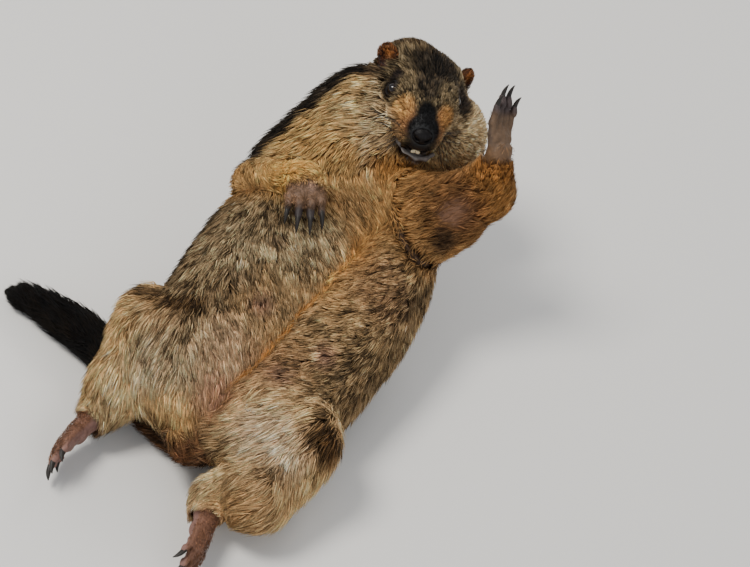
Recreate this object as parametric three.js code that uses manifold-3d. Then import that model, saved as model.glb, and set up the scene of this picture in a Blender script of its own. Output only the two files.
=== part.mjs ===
// A life-size alpine marmot, lying on its back with its chest and head raised, one forepaw on the chest and the other held up.
// Millimetres, +Z up, the floor at z = 0. The head points towards +Y, the belly faces up, the animal's left side is +X.
// Every fleshy form is a smooth field built from a few named lofts, cones and eggs. The outline includes the coat.
import * as THREE from 'three';
import { mergeVertices } from 'three/addons/utils/BufferGeometryUtils.js';
import Module from 'manifold-3d';

const wasm = await Module();
wasm.setup();

// ---------------------------------------------------------------- driving sizes, mm
const GAP = 0.3;            // clearance between neighbouring solids
const EYE_R = 6.2, EYE_OUT = 2.8;   // eyeball radius, and how far it stands out of the coat
const FORE_CLAW = 15, HIND_CLAW = 11;      // claw lengths
const CLAW_R = 2.3;         // claw radius at its root
const FLOOR = 0;            // everything below is cut away, which makes the resting flats
const ORIGIN = [-61.9, 93.2, 0];   // the middle of the whole outline on the floor, which becomes the part's origin

// ---------------------------------------------------------------- small vector kit
const add = (a, b) => [a[0] + b[0], a[1] + b[1], a[2] + b[2]];
const sub = (a, b) => [a[0] - b[0], a[1] - b[1], a[2] - b[2]];
const mul = (a, s) => [a[0] * s, a[1] * s, a[2] * s];
const dot = (a, b) => a[0] * b[0] + a[1] * b[1] + a[2] * b[2];
const cross = (a, b) => [a[1] * b[2] - a[2] * b[1], a[2] * b[0] - a[0] * b[2], a[0] * b[1] - a[1] * b[0]];
const len = a => Math.hypot(a[0], a[1], a[2]);
const unit = a => mul(a, 1 / len(a));
const mix = (a, b, t) => add(mul(a, 1 - t), mul(b, t));
const clamp = (x, lo, hi) => Math.min(hi, Math.max(lo, x));
const lerp = (a, b, t) => a + (b - a) * t;
const deg = d => d * Math.PI / 180;

// A frame: origin and three axes (forward, left, up).
const frameOf = (o, f, upHint) => { const F = unit(f), L = unit(cross(upHint, F)), U = cross(F, L); return { o, F, L, U }; };
const at = (fr, f, l, u) => add(fr.o, add(mul(fr.F, f), add(mul(fr.L, l), mul(fr.U, u))));

// ---------------------------------------------------------------- fields: negative inside
const cone = (a, b, ra, rb) => {
  const d = sub(b, a), l2 = dot(d, d);
  return p => { const q = sub(p, a), t = clamp(dot(q, d) / l2, 0, 1); return len(sub(q, mul(d, t))) - lerp(ra, rb, t); };
};
const eggDistance = (x, y, z, rx, ry, rz) => {
  const k0 = Math.hypot(x / rx, y / ry, z / rz), k1 = Math.hypot(x / (rx * rx), y / (ry * ry), z / (rz * rz));
  return k1 < 1e-9 ? -Math.min(rx, ry, rz) : k0 * (k0 - 1) / k1;
};
// an egg in a frame: centre (f, l, u), radii along F, L, U, nose pitched down by tilt degrees
const egg = (fr, c, r, tilt = 0, turn = 0) => {
  const o = at(fr, ...c), ct = Math.cos(deg(tilt)), st = Math.sin(deg(tilt)), cy = Math.cos(deg(turn)), sy = Math.sin(deg(turn));
  const F1 = add(mul(fr.F, cy), mul(fr.L, sy)), L = add(mul(fr.F, -sy), mul(fr.L, cy));
  const F = add(mul(F1, ct), mul(fr.U, -st)), U = add(mul(F1, st), mul(fr.U, ct));
  return p => { const q = sub(p, o); return eggDistance(dot(q, F), dot(q, L), dot(q, U), ...r); };
};
// smooth union with a fillet of about k
const smin = (a, b, k) => { if (k <= 0) return Math.min(a, b); const h = Math.max(k - Math.abs(a - b), 0) / k; return Math.min(a, b) - h * h * k * 0.25; };
const blend = (k, ...fs) => p => { let v = fs[0](p); for (let i = 1; i < fs.length; i++) v = smin(v, fs[i](p), k); return v; };
// a loft along smooth stations [x, y, z, half-width, up, down, roll in degrees], sections square to the path, width along `side`
const loft = (stations, side, steps = 4) => {
  const n = stations.length, fine = [];
  const cr = (p0, p1, p2, p3, t) => 0.5 * (2 * p1 + (p2 - p0) * t + (2 * p0 - 5 * p1 + 4 * p2 - p3) * t * t + (3 * p1 - p0 - 3 * p2 + p3) * t * t * t);
  for (let i = 0; i < n - 1; i++) for (let s = 0; s < steps; s++) {
    const [a, b, c, d] = [stations[Math.max(i - 1, 0)], stations[i], stations[i + 1], stations[Math.min(i + 2, n - 1)]];
    fine.push(b.map((_, k) => cr(a[k], b[k], c[k], d[k], s / steps)));
  }
  fine.push([...stations[n - 1]]);
  const c = fine.map(f => f.slice(0, 3)), r = fine.map(f => f.slice(3, 6));
  const T = c.map((_, i) => unit(sub(c[Math.min(i + 1, c.length - 1)], c[Math.max(i - 1, 0)])));
  const frames = T.map((t, i) => {
    const u0 = unit(sub(side, mul(t, dot(side, t)))), v0 = cross(u0, t), a = deg(fine[i][6] || 0);
    return [add(mul(u0, Math.cos(a)), mul(v0, -Math.sin(a))), add(mul(u0, Math.sin(a)), mul(v0, Math.cos(a)))];
  });
  return p => {
    let best = Infinity, bi = 0, bt = 0;
    for (let i = 0; i < c.length - 1; i++) {
      const d = sub(c[i + 1], c[i]), q = sub(p, c[i]), t = clamp(dot(q, d) / dot(d, d), 0, 1), w = sub(q, mul(d, t)), m = dot(w, w);
      if (m < best) { best = m; bi = i; bt = t; }
    }
    const q = sub(p, mix(c[bi], c[bi + 1], bt));
    const U = mix(frames[bi][0], frames[bi + 1][0], bt), V = mix(frames[bi][1], frames[bi + 1][1], bt);
    const u = dot(q, U), v = dot(q, V), w = Math.sqrt(Math.max(dot(q, q) - u * u - v * v, 0));
    const rw = lerp(r[bi][0], r[bi + 1][0], bt), ru = lerp(r[bi][1], r[bi + 1][1], bt), rd = lerp(r[bi][2], r[bi + 1][2], bt);
    return eggDistance(u, v, w, rw, v > 0 ? ru : rd, Math.min(rw, ru, rd));
  };
};

// ---------------------------------------------------------------- the animal's forms
// Trunk: rump at the floor, a broad belly, then the chest curving up to the shoulders. The body is rolled a little onto its left.
const SPINE = [
  // x, y, z, half-width, belly side, back side, roll
  [-10, -56, 45, 24, 18, 26, 12],
  [-9, -40, 49, 58, 36, 44, 12],
  [-7, -8, 54, 84, 52, 56, 14],
  [-6, 34, 60, 97, 60, 64, 16],
  [-6, 80, 66, 102, 64, 71, 17],
  [-4, 126, 76, 104, 62, 81, 18],
  [-3, 168, 94, 99, 51, 80, 18],
  [-6, 206, 114, 86, 38, 66, 20],
  [-10, 234, 130, 70, 26, 58, 22],
  [-10, 256, 142, 54, 14, 48, 22],
];
const trunkF = loft(SPINE, [1, 0, 0]);
const hump = cone([-57, 214, 107], [-36, 264, 160], 57, 48);   // the heavy right shoulder and nape

// Head frame: nose a little up and turned to the animal's left, the head rolled slightly the same way.
const HEAD = (() => {
  const yaw = deg(28), pitch = deg(7), roll = deg(6);
  const F = [Math.sin(yaw) * Math.cos(pitch), -Math.cos(yaw) * Math.cos(pitch), Math.sin(pitch)], L0 = unit(cross([0, 0, 1], F)), U0 = cross(F, L0);
  return { o: [4.5, 284, 187], F, L: add(mul(L0, Math.cos(roll)), mul(U0, -Math.sin(roll))), U: add(mul(U0, Math.cos(roll)), mul(L0, Math.sin(roll))) };
})();
const both = (f, c, ...rest) => [-1, 1].map(s => f([c[0], c[1] * s, c[2]], s, ...rest));
const headParts = [
  egg(HEAD, [-14, 0, 2], [40, 34, 28]),                      // cranium
  egg(HEAD, [-35, -11, 5], [28, 31, 33]),                     // nape
  egg(HEAD, [18, 0, 8], [30, 17, 14], 14),                   // forehead and bridge
  ...both(c => egg(HEAD, c, [17, 11, 13]), [15, 20, 1]),     // under the eyes
  egg(HEAD, [35, 0, -6], [17, 15, 13]),                      // muzzle
  ...both(c => egg(HEAD, c, [12, 10, 8.5]), [36, 8, -11]),   // whisker pads
  ...both(c => egg(HEAD, c, [29, 25, 28]), [-4, 38, -20]),   // cheeks
  ...both(c => egg(HEAD, c, [24, 26, 22]), [-8, 29, -42]),   // jowls
  egg(HEAD, [-2, 43, -22], [28, 26, 25]),                    // the left cheek bulges over the raised foreleg
  egg(HEAD, [3, 46, -38], [27, 26.5, 27]),
  egg(HEAD, [-24, 19, 11], [21, 20, 20]),                    // the left temple, pushed out below its ear
  egg(HEAD, [20, 22, -51], [15, 15, 13]),                    // throat fold under the left cheek
  egg(HEAD, [20, 0, -29], [21, 14, 9]),                      // lower jaw
  egg(HEAD, [-10, 0, -28], [28, 36, 20]),                    // throat
  ...both(c => egg(HEAD, c, [13, 8, 6], 10), [8, 21, 19]),   // brows
];
const headF = blend(9, ...headParts);
const neckF = blend(20, cone([-14, 252, 128], at(HEAD, -30, -4, -6), 42, 38), hump);

// Limb paths
const SHOULDER_R = [-52, 212, 118], ELBOW_R = [-84, 164, 124], WRIST_R = [-40, 163, 160.6];
const SHOULDER_L = [48, 222, 122], ELBOW_L = [94, 256, 150], WRIST_L = [94, 253, 198];
const HIP_R = [-46, -10, 56], KNEE_R = [-94, 18, 68], HOCK_R = [-93, -58, 30];
const HIP_L = [34, -10, 56], KNEE_L = [67, -8, 64], HOCK_L = [28, -86, 28];
const PAW_R = frameOf(WRIST_R, [0.44, -0.88, -0.12], [0.12, -0.35, 0.93]);
const PAW_L = frameOf(WRIST_L, [-0.40, 0.585, 0.72], [-0.80, 0.2, -0.56]);
const FOOT_R = frameOf(HOCK_R, [-0.16, -0.98, -0.12], [-1, 0.15, 0.30]);
const FOOT_L = frameOf(HOCK_L, [0.30, -0.94, -0.08], [1, 0.25, 0.30]);

const upperArmR = cone(SHOULDER_R, ELBOW_R, 34, 21), foreArmR = cone(ELBOW_R, WRIST_R, 20, 14.5);
const upperArmL = blend(16, cone(SHOULDER_L, ELBOW_L, 36, 22), cone([56, 202, 104], [84, 232, 122], 28, 22)), foreArmL = cone(ELBOW_L, WRIST_L, 25, 13.5);
const thighR = blend(16, cone(HIP_R, KNEE_R, 46, 34), cone([-84, 2, 58], [-90, -36, 42], 32, 28));
const shankR = cone(KNEE_R, HOCK_R, 31, 19);
const thighL = blend(16, cone(HIP_L, KNEE_L, 46, 30), cone([66, -18, 50], [60, -66, 38], 36, 31));
const shankL = cone(KNEE_L, HOCK_L, 29, 17);

// A paw: frame F towards the toes, U the back of the paw. Sections are [forward, up, half-width, half-thickness].
// Toes are [side, reach, spread in degrees, curl, size]; each gives its claw's place.
const FORE = { palm: [[2, 0, 11, 9], [9, 0, 12, 8.2], [16, 0, 14, 7], [22, -0.5, 14, 5.2]], knuckles: 18, toe: 4.4, length: 22, claw: FORE_CLAW };
const FORE_L = { ...FORE, length: 26, claw: FORE_CLAW * 0.74 }; // the raised hand opens its fingers out
const HIND = { palm: [[-9, 0, 11.5, 12], [10, 0, 10, 10], [32, 0, 12.5, 8], [47, -0.5, 13.6, 6]], knuckles: 44, toe: 4.3, length: 21, claw: HIND_CLAW };
const PAW_SPECS = {
  forepaw_right: [PAW_R, FORE, [[-12, -4, -7, 0, 0.9], [-4.2, 0, -2, 0.05, 1], [4.2, 0, 3, 0.05, 1], [12, -3, 8, 0.12, 0.92]]],
  forepaw_left: [PAW_L, FORE_L, [[-10.5, -3, -4, 0.1, 1.02], [-3.8, 1, -1, 0, 1.14], [3.8, 1, 0, 0, 1.14], [9.5, -3, 3, 0.1, 1.02]]],
  hindfoot_right: [FOOT_R, HIND, [[-11.4, -9, -13, 0.15, 0.85], [-6, -1, -5, 0.1, 1], [0, 0, 0, 0.1, 1], [6, -1, 5, 0.1, 1], [11.4, -7, 12, 0.15, 0.9]]],
  hindfoot_left: [FOOT_L, HIND, [[-11.4, -7, -12, 0.15, 0.9], [-6, -1, -5, 0.1, 1], [0, 0, 0, 0.1, 1], [6, -1, 5, 0.1, 1], [11.4, -9, 13, 0.15, 0.85]]],
};
function toeChain(fr, o, [l, reach, spread, curl, size]) {
  const a = deg(spread), r = o.toe * size, n = o.length * size, f = o.knuckles + reach;
  const p0 = at(fr, f - 7, l * 0.9, 0), p1 = at(fr, f + Math.cos(a) * n * 0.45, l + Math.sin(a) * n * 0.45, -n * (0.04 + 0.12 * curl));
  const p2 = at(fr, f + Math.cos(a) * n * (1 - 0.28 * curl), l + Math.sin(a) * n, -n * (0.16 + 0.62 * curl));
  return { p: [p0, p1, p2], r };
}
const heelR = cone(at(FOOT_R, -7, 0, -4), at(FOOT_R, 14, 0, -1), 13, 12), heelL = cone(at(FOOT_L, -7, 0, -4), at(FOOT_L, 14, 0, -1), 13, 12);

// Tail: bushy, lying on the floor, round under the right leg to its free tip.
const TAIL = [
  [-12, -34, 22, 20, 16, 22],
  [-48, -32, 19, 18, 14, 19],
  [-90, -16, 17, 17, 14, 18],
  [-128, 4, 17.5, 19, 17, 19],
  [-160, 14, 17.5, 20, 17, 19],
  [-200, 20, 15, 17, 13, 16],
  [-226, 21, 11, 10, 8, 11],
  [-240, 21, 8, 4, 3.5, 6],
];
const tailF = loft(TAIL, [0.2, 1, 0]);

// Limb fields
const armRF = p => smin(upperArmR(p), foreArmR(p), 14);
const armLF = p => smin(upperArmL(p), foreArmL(p), 14);
const legRF = p => smin(smin(thighR(p), shankR(p), 12), heelR(p), 10);
const legLF = p => smin(smin(thighL(p), shankL(p), 12), heelL(p), 10);
const axialF = p => smin(smin(trunkF(p), neckF(p), 26), headF(p), 12);

// How softly a limb melts into the trunk: wide near its root, almost nothing further out.
const near = (p, c, r) => Math.exp(-((len(sub(p, c)) / r) ** 2));
const LIMBS = {
  foreleg_right: { f: armRF, k: p => 2 + 26 * near(p, SHOULDER_R, 42) },
  foreleg_left: { f: armLF, k: p => 2 + 26 * near(p, SHOULDER_L, 44) },
  hindleg_right: { f: legRF, k: p => 3 + 30 * near(p, HIP_R, 60) },
  hindleg_left: { f: legLF, k: p => 3 + 30 * near(p, HIP_L, 56) },
  tail: { f: tailF, k: p => 2 + 10 * near(p, TAIL[0], 34) },
};
const bodyF = p => { let v = axialF(p); for (const n in LIMBS) v = smin(v, LIMBS[n].f(p), LIMBS[n].k(p)); return v; };

// ---------------------------------------------------------------- from fields to solids
function solidOf(g) {
  const m = mergeVertices(new THREE.BufferGeometry().setAttribute('position', (g.index ? g.toNonIndexed() : g).getAttribute('position').clone()), 1e-4);
  return new wasm.Manifold(new wasm.Mesh({ numProp: 3, vertProperties: new Float32Array(m.attributes.position.array), triVerts: new Uint32Array(m.index.array) }));
}
// A closed skin round a curved axis: rings of rays leave the axis and stop where the field turns positive.
function ringSkin(path, hint, field, { sides, rings, caps = 4, reach = 150 }) {
  const seg = path.slice(1).map((p, i) => len(sub(p, path[i]))), total = seg.reduce((a, b) => a + b, 0);
  const onPath = t => { let d = t * total; for (let i = 0; i < seg.length; i++) { if (d <= seg[i] || i === seg.length - 1) return mix(path[i], path[i + 1], d / seg[i]); d -= seg[i]; } };
  const hit = (o, d) => {
    let a = 0, b = 0;
    for (b = 2; b < reach && field(add(o, mul(d, b))) < 0; b += 3) a = b;
    for (let i = 0; i < 12; i++) { const m = (a + b) / 2; field(add(o, mul(d, m))) < 0 ? a = m : b = m; }
    return add(o, mul(d, (a + b) / 2));
  };
  const pos = [], tri = [], rows = [];
  const tangent = t => unit(sub(onPath(Math.min(1, t + 0.04)), onPath(Math.max(0, t - 0.04))));
  for (let i = -caps; i <= rings - 1 + caps; i++) {
    const t = clamp(i / (rings - 1), 0, 1), o = onPath(t), T = tangent(t), tilt = i < 0 ? i / caps * Math.PI / 2 : i > rings - 1 ? (i - rings + 1) / caps * Math.PI / 2 : 0;
    const u = unit(sub(hint, mul(T, dot(hint, T)))), v = cross(T, u), row = [];
    if (Math.abs(tilt) > Math.PI / 2 - 1e-6) { row.push(pos.length / 3); pos.push(...hit(o, mul(T, Math.sign(tilt)))); rows.push(row); continue; }
    for (let j = 0; j < sides; j++) {
      const a = (j + (i & 1 ? 0.5 : 0)) / sides * 2 * Math.PI, r = add(mul(u, Math.cos(a)), mul(v, Math.sin(a)));
      row.push(pos.length / 3); pos.push(...hit(o, add(mul(r, Math.cos(tilt)), mul(T, Math.sin(tilt)))));
    }
    rows.push(row);
  }
  for (let i = 0; i < rows.length - 1; i++) {
    const A = rows[i], B = rows[i + 1], odd = (i - caps) & 1;
    for (let j = 0; j < sides; j++) {
      const k = (j + 1) % sides;
      if (A.length === 1) tri.push(A[0], B[k], B[j]);
      else if (B.length === 1) tri.push(A[j], A[k], B[0]);
      else if (odd) tri.push(A[j], B[k], B[j], A[j], A[k], B[k]);
      else tri.push(A[j], A[k], B[j], A[k], B[k], B[j]);
    }
  }
  const make = t => new wasm.Manifold(new wasm.Mesh({ numProp: 3, vertProperties: new Float32Array(pos), triVerts: new Uint32Array(t) }));
  let m = make(tri);
  if (m.volume() < 0) { for (let t = 0; t < tri.length; t += 3) [tri[t + 1], tri[t + 2]] = [tri[t + 2], tri[t + 1]]; m = make(tri); }
  return m;
}
// The half-space behind a plane through o with outward normal d, as a large block.
function halfSpace(o, d) {
  const g = new THREE.BoxGeometry(900, 900, 900), q = new THREE.Quaternion().setFromUnitVectors(new THREE.Vector3(0, 0, 1), new THREE.Vector3(...unit(d)));
  g.applyQuaternion(q); g.translate(...sub(o, mul(unit(d), 450)));
  return solidOf(g);
}
const biggest = m => m.decompose().sort((a, b) => b.volume() - a.volume())[0];
const ground = halfSpace([0, 0, FLOOR], [0, 0, -1]);
const keepAbove = m => m.intersect(ground);

// ---------------------------------------------------------------- head, trunk and limbs, parted along their creases
// Each limb and the head keeps its own whole form, a little proud of its own field, and the trunk is hollowed to receive it.
// A limb ends at a plane across its root: a point on it and the direction out along the limb.
const HUG = 5, HEAD_HUG = 9;
const ROOTS = {
  foreleg_right: [[-70, 182, 120], [-0.5, -0.84, 0.2]],
  foreleg_left: [[58, 228, 126], [0.76, 0.56, 0.40]],
  hindleg_right: [[-58, -8, 58], [-0.98, -0.19, 0]],
  hindleg_left: [[40, -10, 58], [0.84, -0.55, 0]],
  tail: [[-22, -33, 20], [-1, 0.05, 0]],
};
const limbZone = name => { const [o, d] = ROOTS[name], u = unit(d); return p => Math.max(LIMBS[name].f(p) - HUG, dot(sub(o, p), u)); };
const AXIS = {
  foreleg_right: { path: [mix(SHOULDER_R, ELBOW_R, 0.75), ELBOW_R, mix(ELBOW_R, WRIST_R, 0.5), WRIST_R], hint: [0, 0, 1], sides: 12, rings: 6, caps: 4 },
  foreleg_left: { path: [mix(SHOULDER_L, ELBOW_L, 0.3), mix(SHOULDER_L, ELBOW_L, 0.7), [94, 254, 166], WRIST_L], hint: [0, -1, 0.2], sides: 13, rings: 8, caps: 4 },
  hindleg_right: { path: [[-76, 0, 58], [-86, -24, 49], [-93, -50, 34], at(FOOT_R, 10, 0, -1)], hint: [0, 0.2, 1], sides: 14, rings: 7, caps: 5 },
  hindleg_left: { path: [[56, -10, 58], [57, -34, 48], [44, -64, 38], at(FOOT_L, 10, 0, -1)], hint: [0, 0.2, 1], sides: 14, rings: 7, caps: 5 },
  tail: { path: [[-34, -32, 20], ...TAIL.slice(1).map(t => t.slice(0, 3))], hint: [0, 0, 1], sides: 10, rings: 9, caps: 2 },
};
const solids = {}, sockets = {};
for (const name in LIMBS) {
  const { path, hint, ...n } = AXIS[name], zone = limbZone(name);
  solids[name] = ringSkin(path, hint, p => Math.max(bodyF(p), zone(p)), n);
  sockets[name] = ringSkin(path, hint, p => zone(p) - GAP * 1.2, n);
}
const headAxis = [at(HEAD, -24, -2, -8), at(HEAD, -6, 0, -9), at(HEAD, 14, 0, -8), at(HEAD, 33, 0, -8)], headRings = { sides: 20, rings: 8, caps: 4 };
solids.head = ringSkin(headAxis, HEAD.U, p => Math.max(bodyF(p), headF(p) - HEAD_HUG), headRings);
sockets.head = ringSkin(headAxis, HEAD.U, p => headF(p) - HEAD_HUG - GAP * 1.2, headRings);
solids.tail = solids.tail.subtract(sockets.hindleg_right).subtract(sockets.hindleg_left);
solids.foreleg_left = solids.foreleg_left.subtract(sockets.head);

const bodyAxis = [...SPINE.slice(1, 9).map(s => s.slice(0, 3)), [-12, 258, 144], [-12, 272, 154]];
let torso = ringSkin(bodyAxis, [0, -0.3, 1], p => Math.max(bodyF(p), smin(trunkF(p), neckF(p), 26) - 10), { sides: 24, rings: 15, caps: 5 });
for (const name in sockets) torso = torso.subtract(sockets[name]);
const NECK_PLANE = { o: [0, 246, 140], d: unit([0.02, 0.80, 0.60]) };
// The half-space on side s of a plane, half a gap short of it.
const side = (P, s) => halfSpace(add(P.o, mul(P.d, s * GAP / 2)), mul(P.d, -s));
solids.trunk = torso.intersect(side(NECK_PLANE, -1));
solids.neck = torso.intersect(side(NECK_PLANE, 1));

// ---------------------------------------------------------------- paws: a lofted palm with tapering toes and curved claws
// A closed tube through rings; each ring is { c, x, y, rx, ry }.
function tube(rings, sides) {
  const pos = [], tri = [], n = rings.length;
  rings.forEach(r => { for (let j = 0; j < sides; j++) { const a = (j + 0.5) / sides * 2 * Math.PI; pos.push(...add(r.c, add(mul(r.x, Math.cos(a) * r.rx), mul(r.y, Math.sin(a) * r.ry)))); } });
  for (let i = 0; i < n - 1; i++) for (let j = 0; j < sides; j++) { const a = i * sides + j, b = i * sides + (j + 1) % sides; tri.push(a, b, a + sides, b, b + sides, a + sides); }
  const first = pos.length / 3; pos.push(...rings[0].c); const last = first + 1; pos.push(...rings[n - 1].c);
  for (let j = 0; j < sides; j++) { tri.push((j + 1) % sides, j, first); tri.push((n - 1) * sides + j, (n - 1) * sides + (j + 1) % sides, last); }
  const make = t => new wasm.Manifold(new wasm.Mesh({ numProp: 3, vertProperties: new Float32Array(pos), triVerts: new Uint32Array(t) }));
  let m = make(tri);
  if (m.volume() < 0) { for (let t = 0; t < tri.length; t += 3) [tri[t + 1], tri[t + 2]] = [tri[t + 2], tri[t + 1]]; m = make(tri); }
  return m;
}
function pawSolid([fr, o, toes], grow = 0) {
  const ring = (f, u, w, h) => ({ c: at(fr, f, 0, u), x: fr.L, y: fr.U, rx: w + grow, ry: h + grow });
  const P = o.palm, first = P[0], last = P[P.length - 1];
  let m = tube([ring(first[0] - 3, first[1], first[2] * 0.6, first[3] * 0.6), ...P.map(s => ring(...s)), ring(last[0] + 3, last[1] - 0.5, last[2] * 0.7, last[3] * 0.55)], 7);
  const claws = [];
  toes.forEach((t, i) => {
    const { p: [p0, p1, p2], r } = toeChain(fr, o, t), d0 = unit(sub(p1, p0)), d1 = unit(sub(p2, p1)), dm = unit(add(d0, d1));
    const at1 = (c, d, k) => { const x = unit(cross(fr.U, d)); return { c, x, y: cross(d, x), rx: r * k, ry: r * k }; };
    m = m.add(tube([at1(p0, d0, 1), at1(p1, dm, 1.04), at1(mix(p1, p2, 0.7), d1, 0.98), at1(p2, d1, 0.62)], 5));
    claws.push({ root: add(p2, mul(d1, GAP)), dir: d1, up: cross(d1, unit(cross(fr.U, d1))), length: o.claw * t[4], radius: CLAW_R * (t[4] < 0.87 ? 0.85 : 1) });
  });
  return { solid: m, claws };
}
// A claw: a horn cone curving down, deeper than wide.
function claw({ root, dir, up, length, radius }) {
  const x = cross(up, dir), rings = [0, 0.45, 0.92].map(t => {
    const a = Math.atan(0.75 * t), y = add(mul(up, Math.cos(a)), mul(dir, Math.sin(a))), k = 1 - 0.86 * t ** 1.25;
    return { c: add(root, add(mul(dir, length * t), mul(up, -0.36 * length * t * t))), x, y, rx: radius * 0.8 * k, ry: radius * 1.1 * k };
  });
  return tube(rings, 5);
}
const LEG_OF = { forepaw_right: 'foreleg_right', forepaw_left: 'foreleg_left', hindfoot_right: 'hindleg_right', hindfoot_left: 'hindleg_left' };
for (const name in PAW_SPECS) {
  const { solid, claws } = pawSolid(PAW_SPECS[name]);
  let m = solid;
  if (name === 'forepaw_right') { // rests on the chest
    const n = unit([0.1, -0.45, 0.9]);
    m = m.subtract(solids.trunk.translate(mul(n, GAP * 1.6)));
  }
  solids[LEG_OF[name]] = solids[LEG_OF[name]].subtract(pawSolid(PAW_SPECS[name], GAP).solid);
  solids[name] = m;
  claws.forEach((c, i) => { solids[`claw_${name}_${i + 1}`] = claw(c); });
}

// ---------------------------------------------------------------- eyes, ears, nose, teeth
// A scaled ball in a frame: centre (f, l, u), radii along F, L, U.
const ballIn = (fr, c, r, nu = 12, nv = 8, tilt = 0) => {
  const g = new THREE.SphereGeometry(1, nu, nv); g.scale(r[0], r[1], r[2]); g.rotateY(deg(tilt));
  g.applyMatrix4(new THREE.Matrix4().makeBasis(new THREE.Vector3(...fr.F), new THREE.Vector3(...fr.L), new THREE.Vector3(...fr.U)).setPosition(...at(fr, ...c)));
  return solidOf(g);
};
// how far out along a head direction the surface lies
const surfaceAlong = (c, d) => { let lo = 0, hi = 60; for (let i = 0; i < 30; i++) { const m = (lo + hi) / 2; axialF(at(HEAD, ...add(c, mul(d, m)))) < 0 ? lo = m : hi = m; } return lo; };
const grow = (r, g) => r.map(v => v + g);
for (const [s, word] of [[-1, 'right'], [1, 'left']]) {
  const c = s < 0 ? [8.9, -14.6, 8.1] : [8, 12, 12], d = unit(s < 0 ? [0.3, -0.85, 0.43] : [0.28, 1, 0.2]), c1 = add(c, mul(d, surfaceAlong(c, d) + EYE_OUT - EYE_R));
  solids[`eye_${word}`] = ballIn(HEAD, c1, [EYE_R, EYE_R, EYE_R], 10, 7);
  solids.head = solids.head.subtract(ballIn(HEAD, c1, grow([EYE_R, EYE_R, EYE_R], GAP), 10, 7));
  // ears: small round cups standing on the sides of the crown, open forwards and outwards
  const o = s < 0 ? at(HEAD, -26, -33, 17) : at(HEAD, -27, 38.5, 9), fr = frameOf(o, add(mul(HEAD.F, 0.72), mul(HEAD.L, 0.70 * s)), add(HEAD.U, mul(HEAD.L, 0.45 * s)));
  const ear = e => ballIn(fr, [0, 0, 3], grow([5, 11, 14], e), 9, 6).subtract(ballIn(fr, [5, 0, 4.5], grow([4.2, 8, 10], -e), 8, 5));
  solids[`ear_${word}`] = ear(0);
  solids.head = solids.head.subtract(ear(GAP));
}
// nose pad: a broad soft wedge at the tip of the muzzle
solids.nose = ballIn(HEAD, [47.5, 0, -3.5], [7.5, 9.6, 8.6], 10, 7, 12);
solids.head = solids.head.subtract(ballIn(HEAD, [47.5, 0, -3.5], grow([7.5, 9.6, 8.6], GAP), 10, 7, 12));
// mouth: a narrow open crescent under the muzzle, with the tips of the upper incisors in it
solids.head = solids.head.subtract(ballIn(HEAD, [44, 0, -21.5], [15, 13, 3.4], 12, 8, 8));
for (const [s, word] of [[-1, 'right'], [1, 'left']]) {
  const outline = new THREE.Shape(); // seen from the side: a chisel
  outline.moveTo(0, 0); outline.lineTo(3.2, 0.6); outline.quadraticCurveTo(4.4, -4, 3.2, -9); outline.quadraticCurveTo(1.0, -5, 0, 0);
  const g = new THREE.ExtrudeGeometry(outline, { depth: 2.9, bevelEnabled: true, bevelThickness: 0.3, bevelSize: 0.25, bevelSegments: 1, curveSegments: 3 });
  g.translate(0, 0, -1.45); g.rotateX(Math.PI / 2);
  g.translate(43.5, s * 1.95, -15.5);
  const place = new THREE.Matrix4().makeBasis(new THREE.Vector3(...HEAD.F), new THREE.Vector3(...HEAD.L), new THREE.Vector3(...HEAD.U)).setPosition(...HEAD.o);
  const tooth = g.clone(); tooth.applyMatrix4(place);
  solids[`incisor_${word}`] = solidOf(tooth);
}
solids.head = solids.head.subtract(ballIn(HEAD, [45, 0, -17], [4.2, 4.8, 6.5], 10, 7));

// ---------------------------------------------------------------- the scene graph
const COLOURS = {
  trunk: 0x8d6a45, neck: 0xb08a55, head: 0x6b5a48, tail: 0x2a1d18, nose: 0x17141a, eye: 0x0c0a0a, ear: 0x8a4a28,
  foreleg: 0xb87a3a, forepaw: 0x5b463c, hindleg: 0xa47a4a, hindfoot: 0x7a5038, claw: 0x1d1917, incisor: 0xe6cf96,
};
const group = new THREE.Group();
group.position.set(-ORIGIN[0], -ORIGIN[1], -ORIGIN[2]);
for (const [name, raw] of Object.entries(solids)) {
  const m = biggest(keepAbove(raw)), mesh = m.getMesh(), n = mesh.numProp, v = new Float32Array(mesh.numVert * 3);
  for (let i = 0; i < mesh.numVert; i++) v.set(mesh.vertProperties.subarray(i * n, i * n + 3), i * 3);
  const g = new THREE.BufferGeometry().setAttribute('position', new THREE.BufferAttribute(v, 3)).setIndex(new THREE.BufferAttribute(new Uint32Array(mesh.triVerts), 1));
  g.computeVertexNormals();
  const key = Object.keys(COLOURS).find(k => name.startsWith(k)) || 'trunk';
  const hard = /claw|eye|incisor|nose/.test(name);
  const part = new THREE.Mesh(g, new THREE.MeshStandardMaterial({ color: COLOURS[key], roughness: hard ? 0.35 : 0.85, metalness: 0 }));
  part.name = name;
  group.add(part);
}

export default group;
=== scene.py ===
# The looks of a life-size alpine marmot lying on its back: one skin under a coat of solid tufts, with eyes, nose, teeth,
# claws and whiskers of their own. Lengths are in millimetres in the animal's frame and become metres when a mesh is made.
import math

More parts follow.
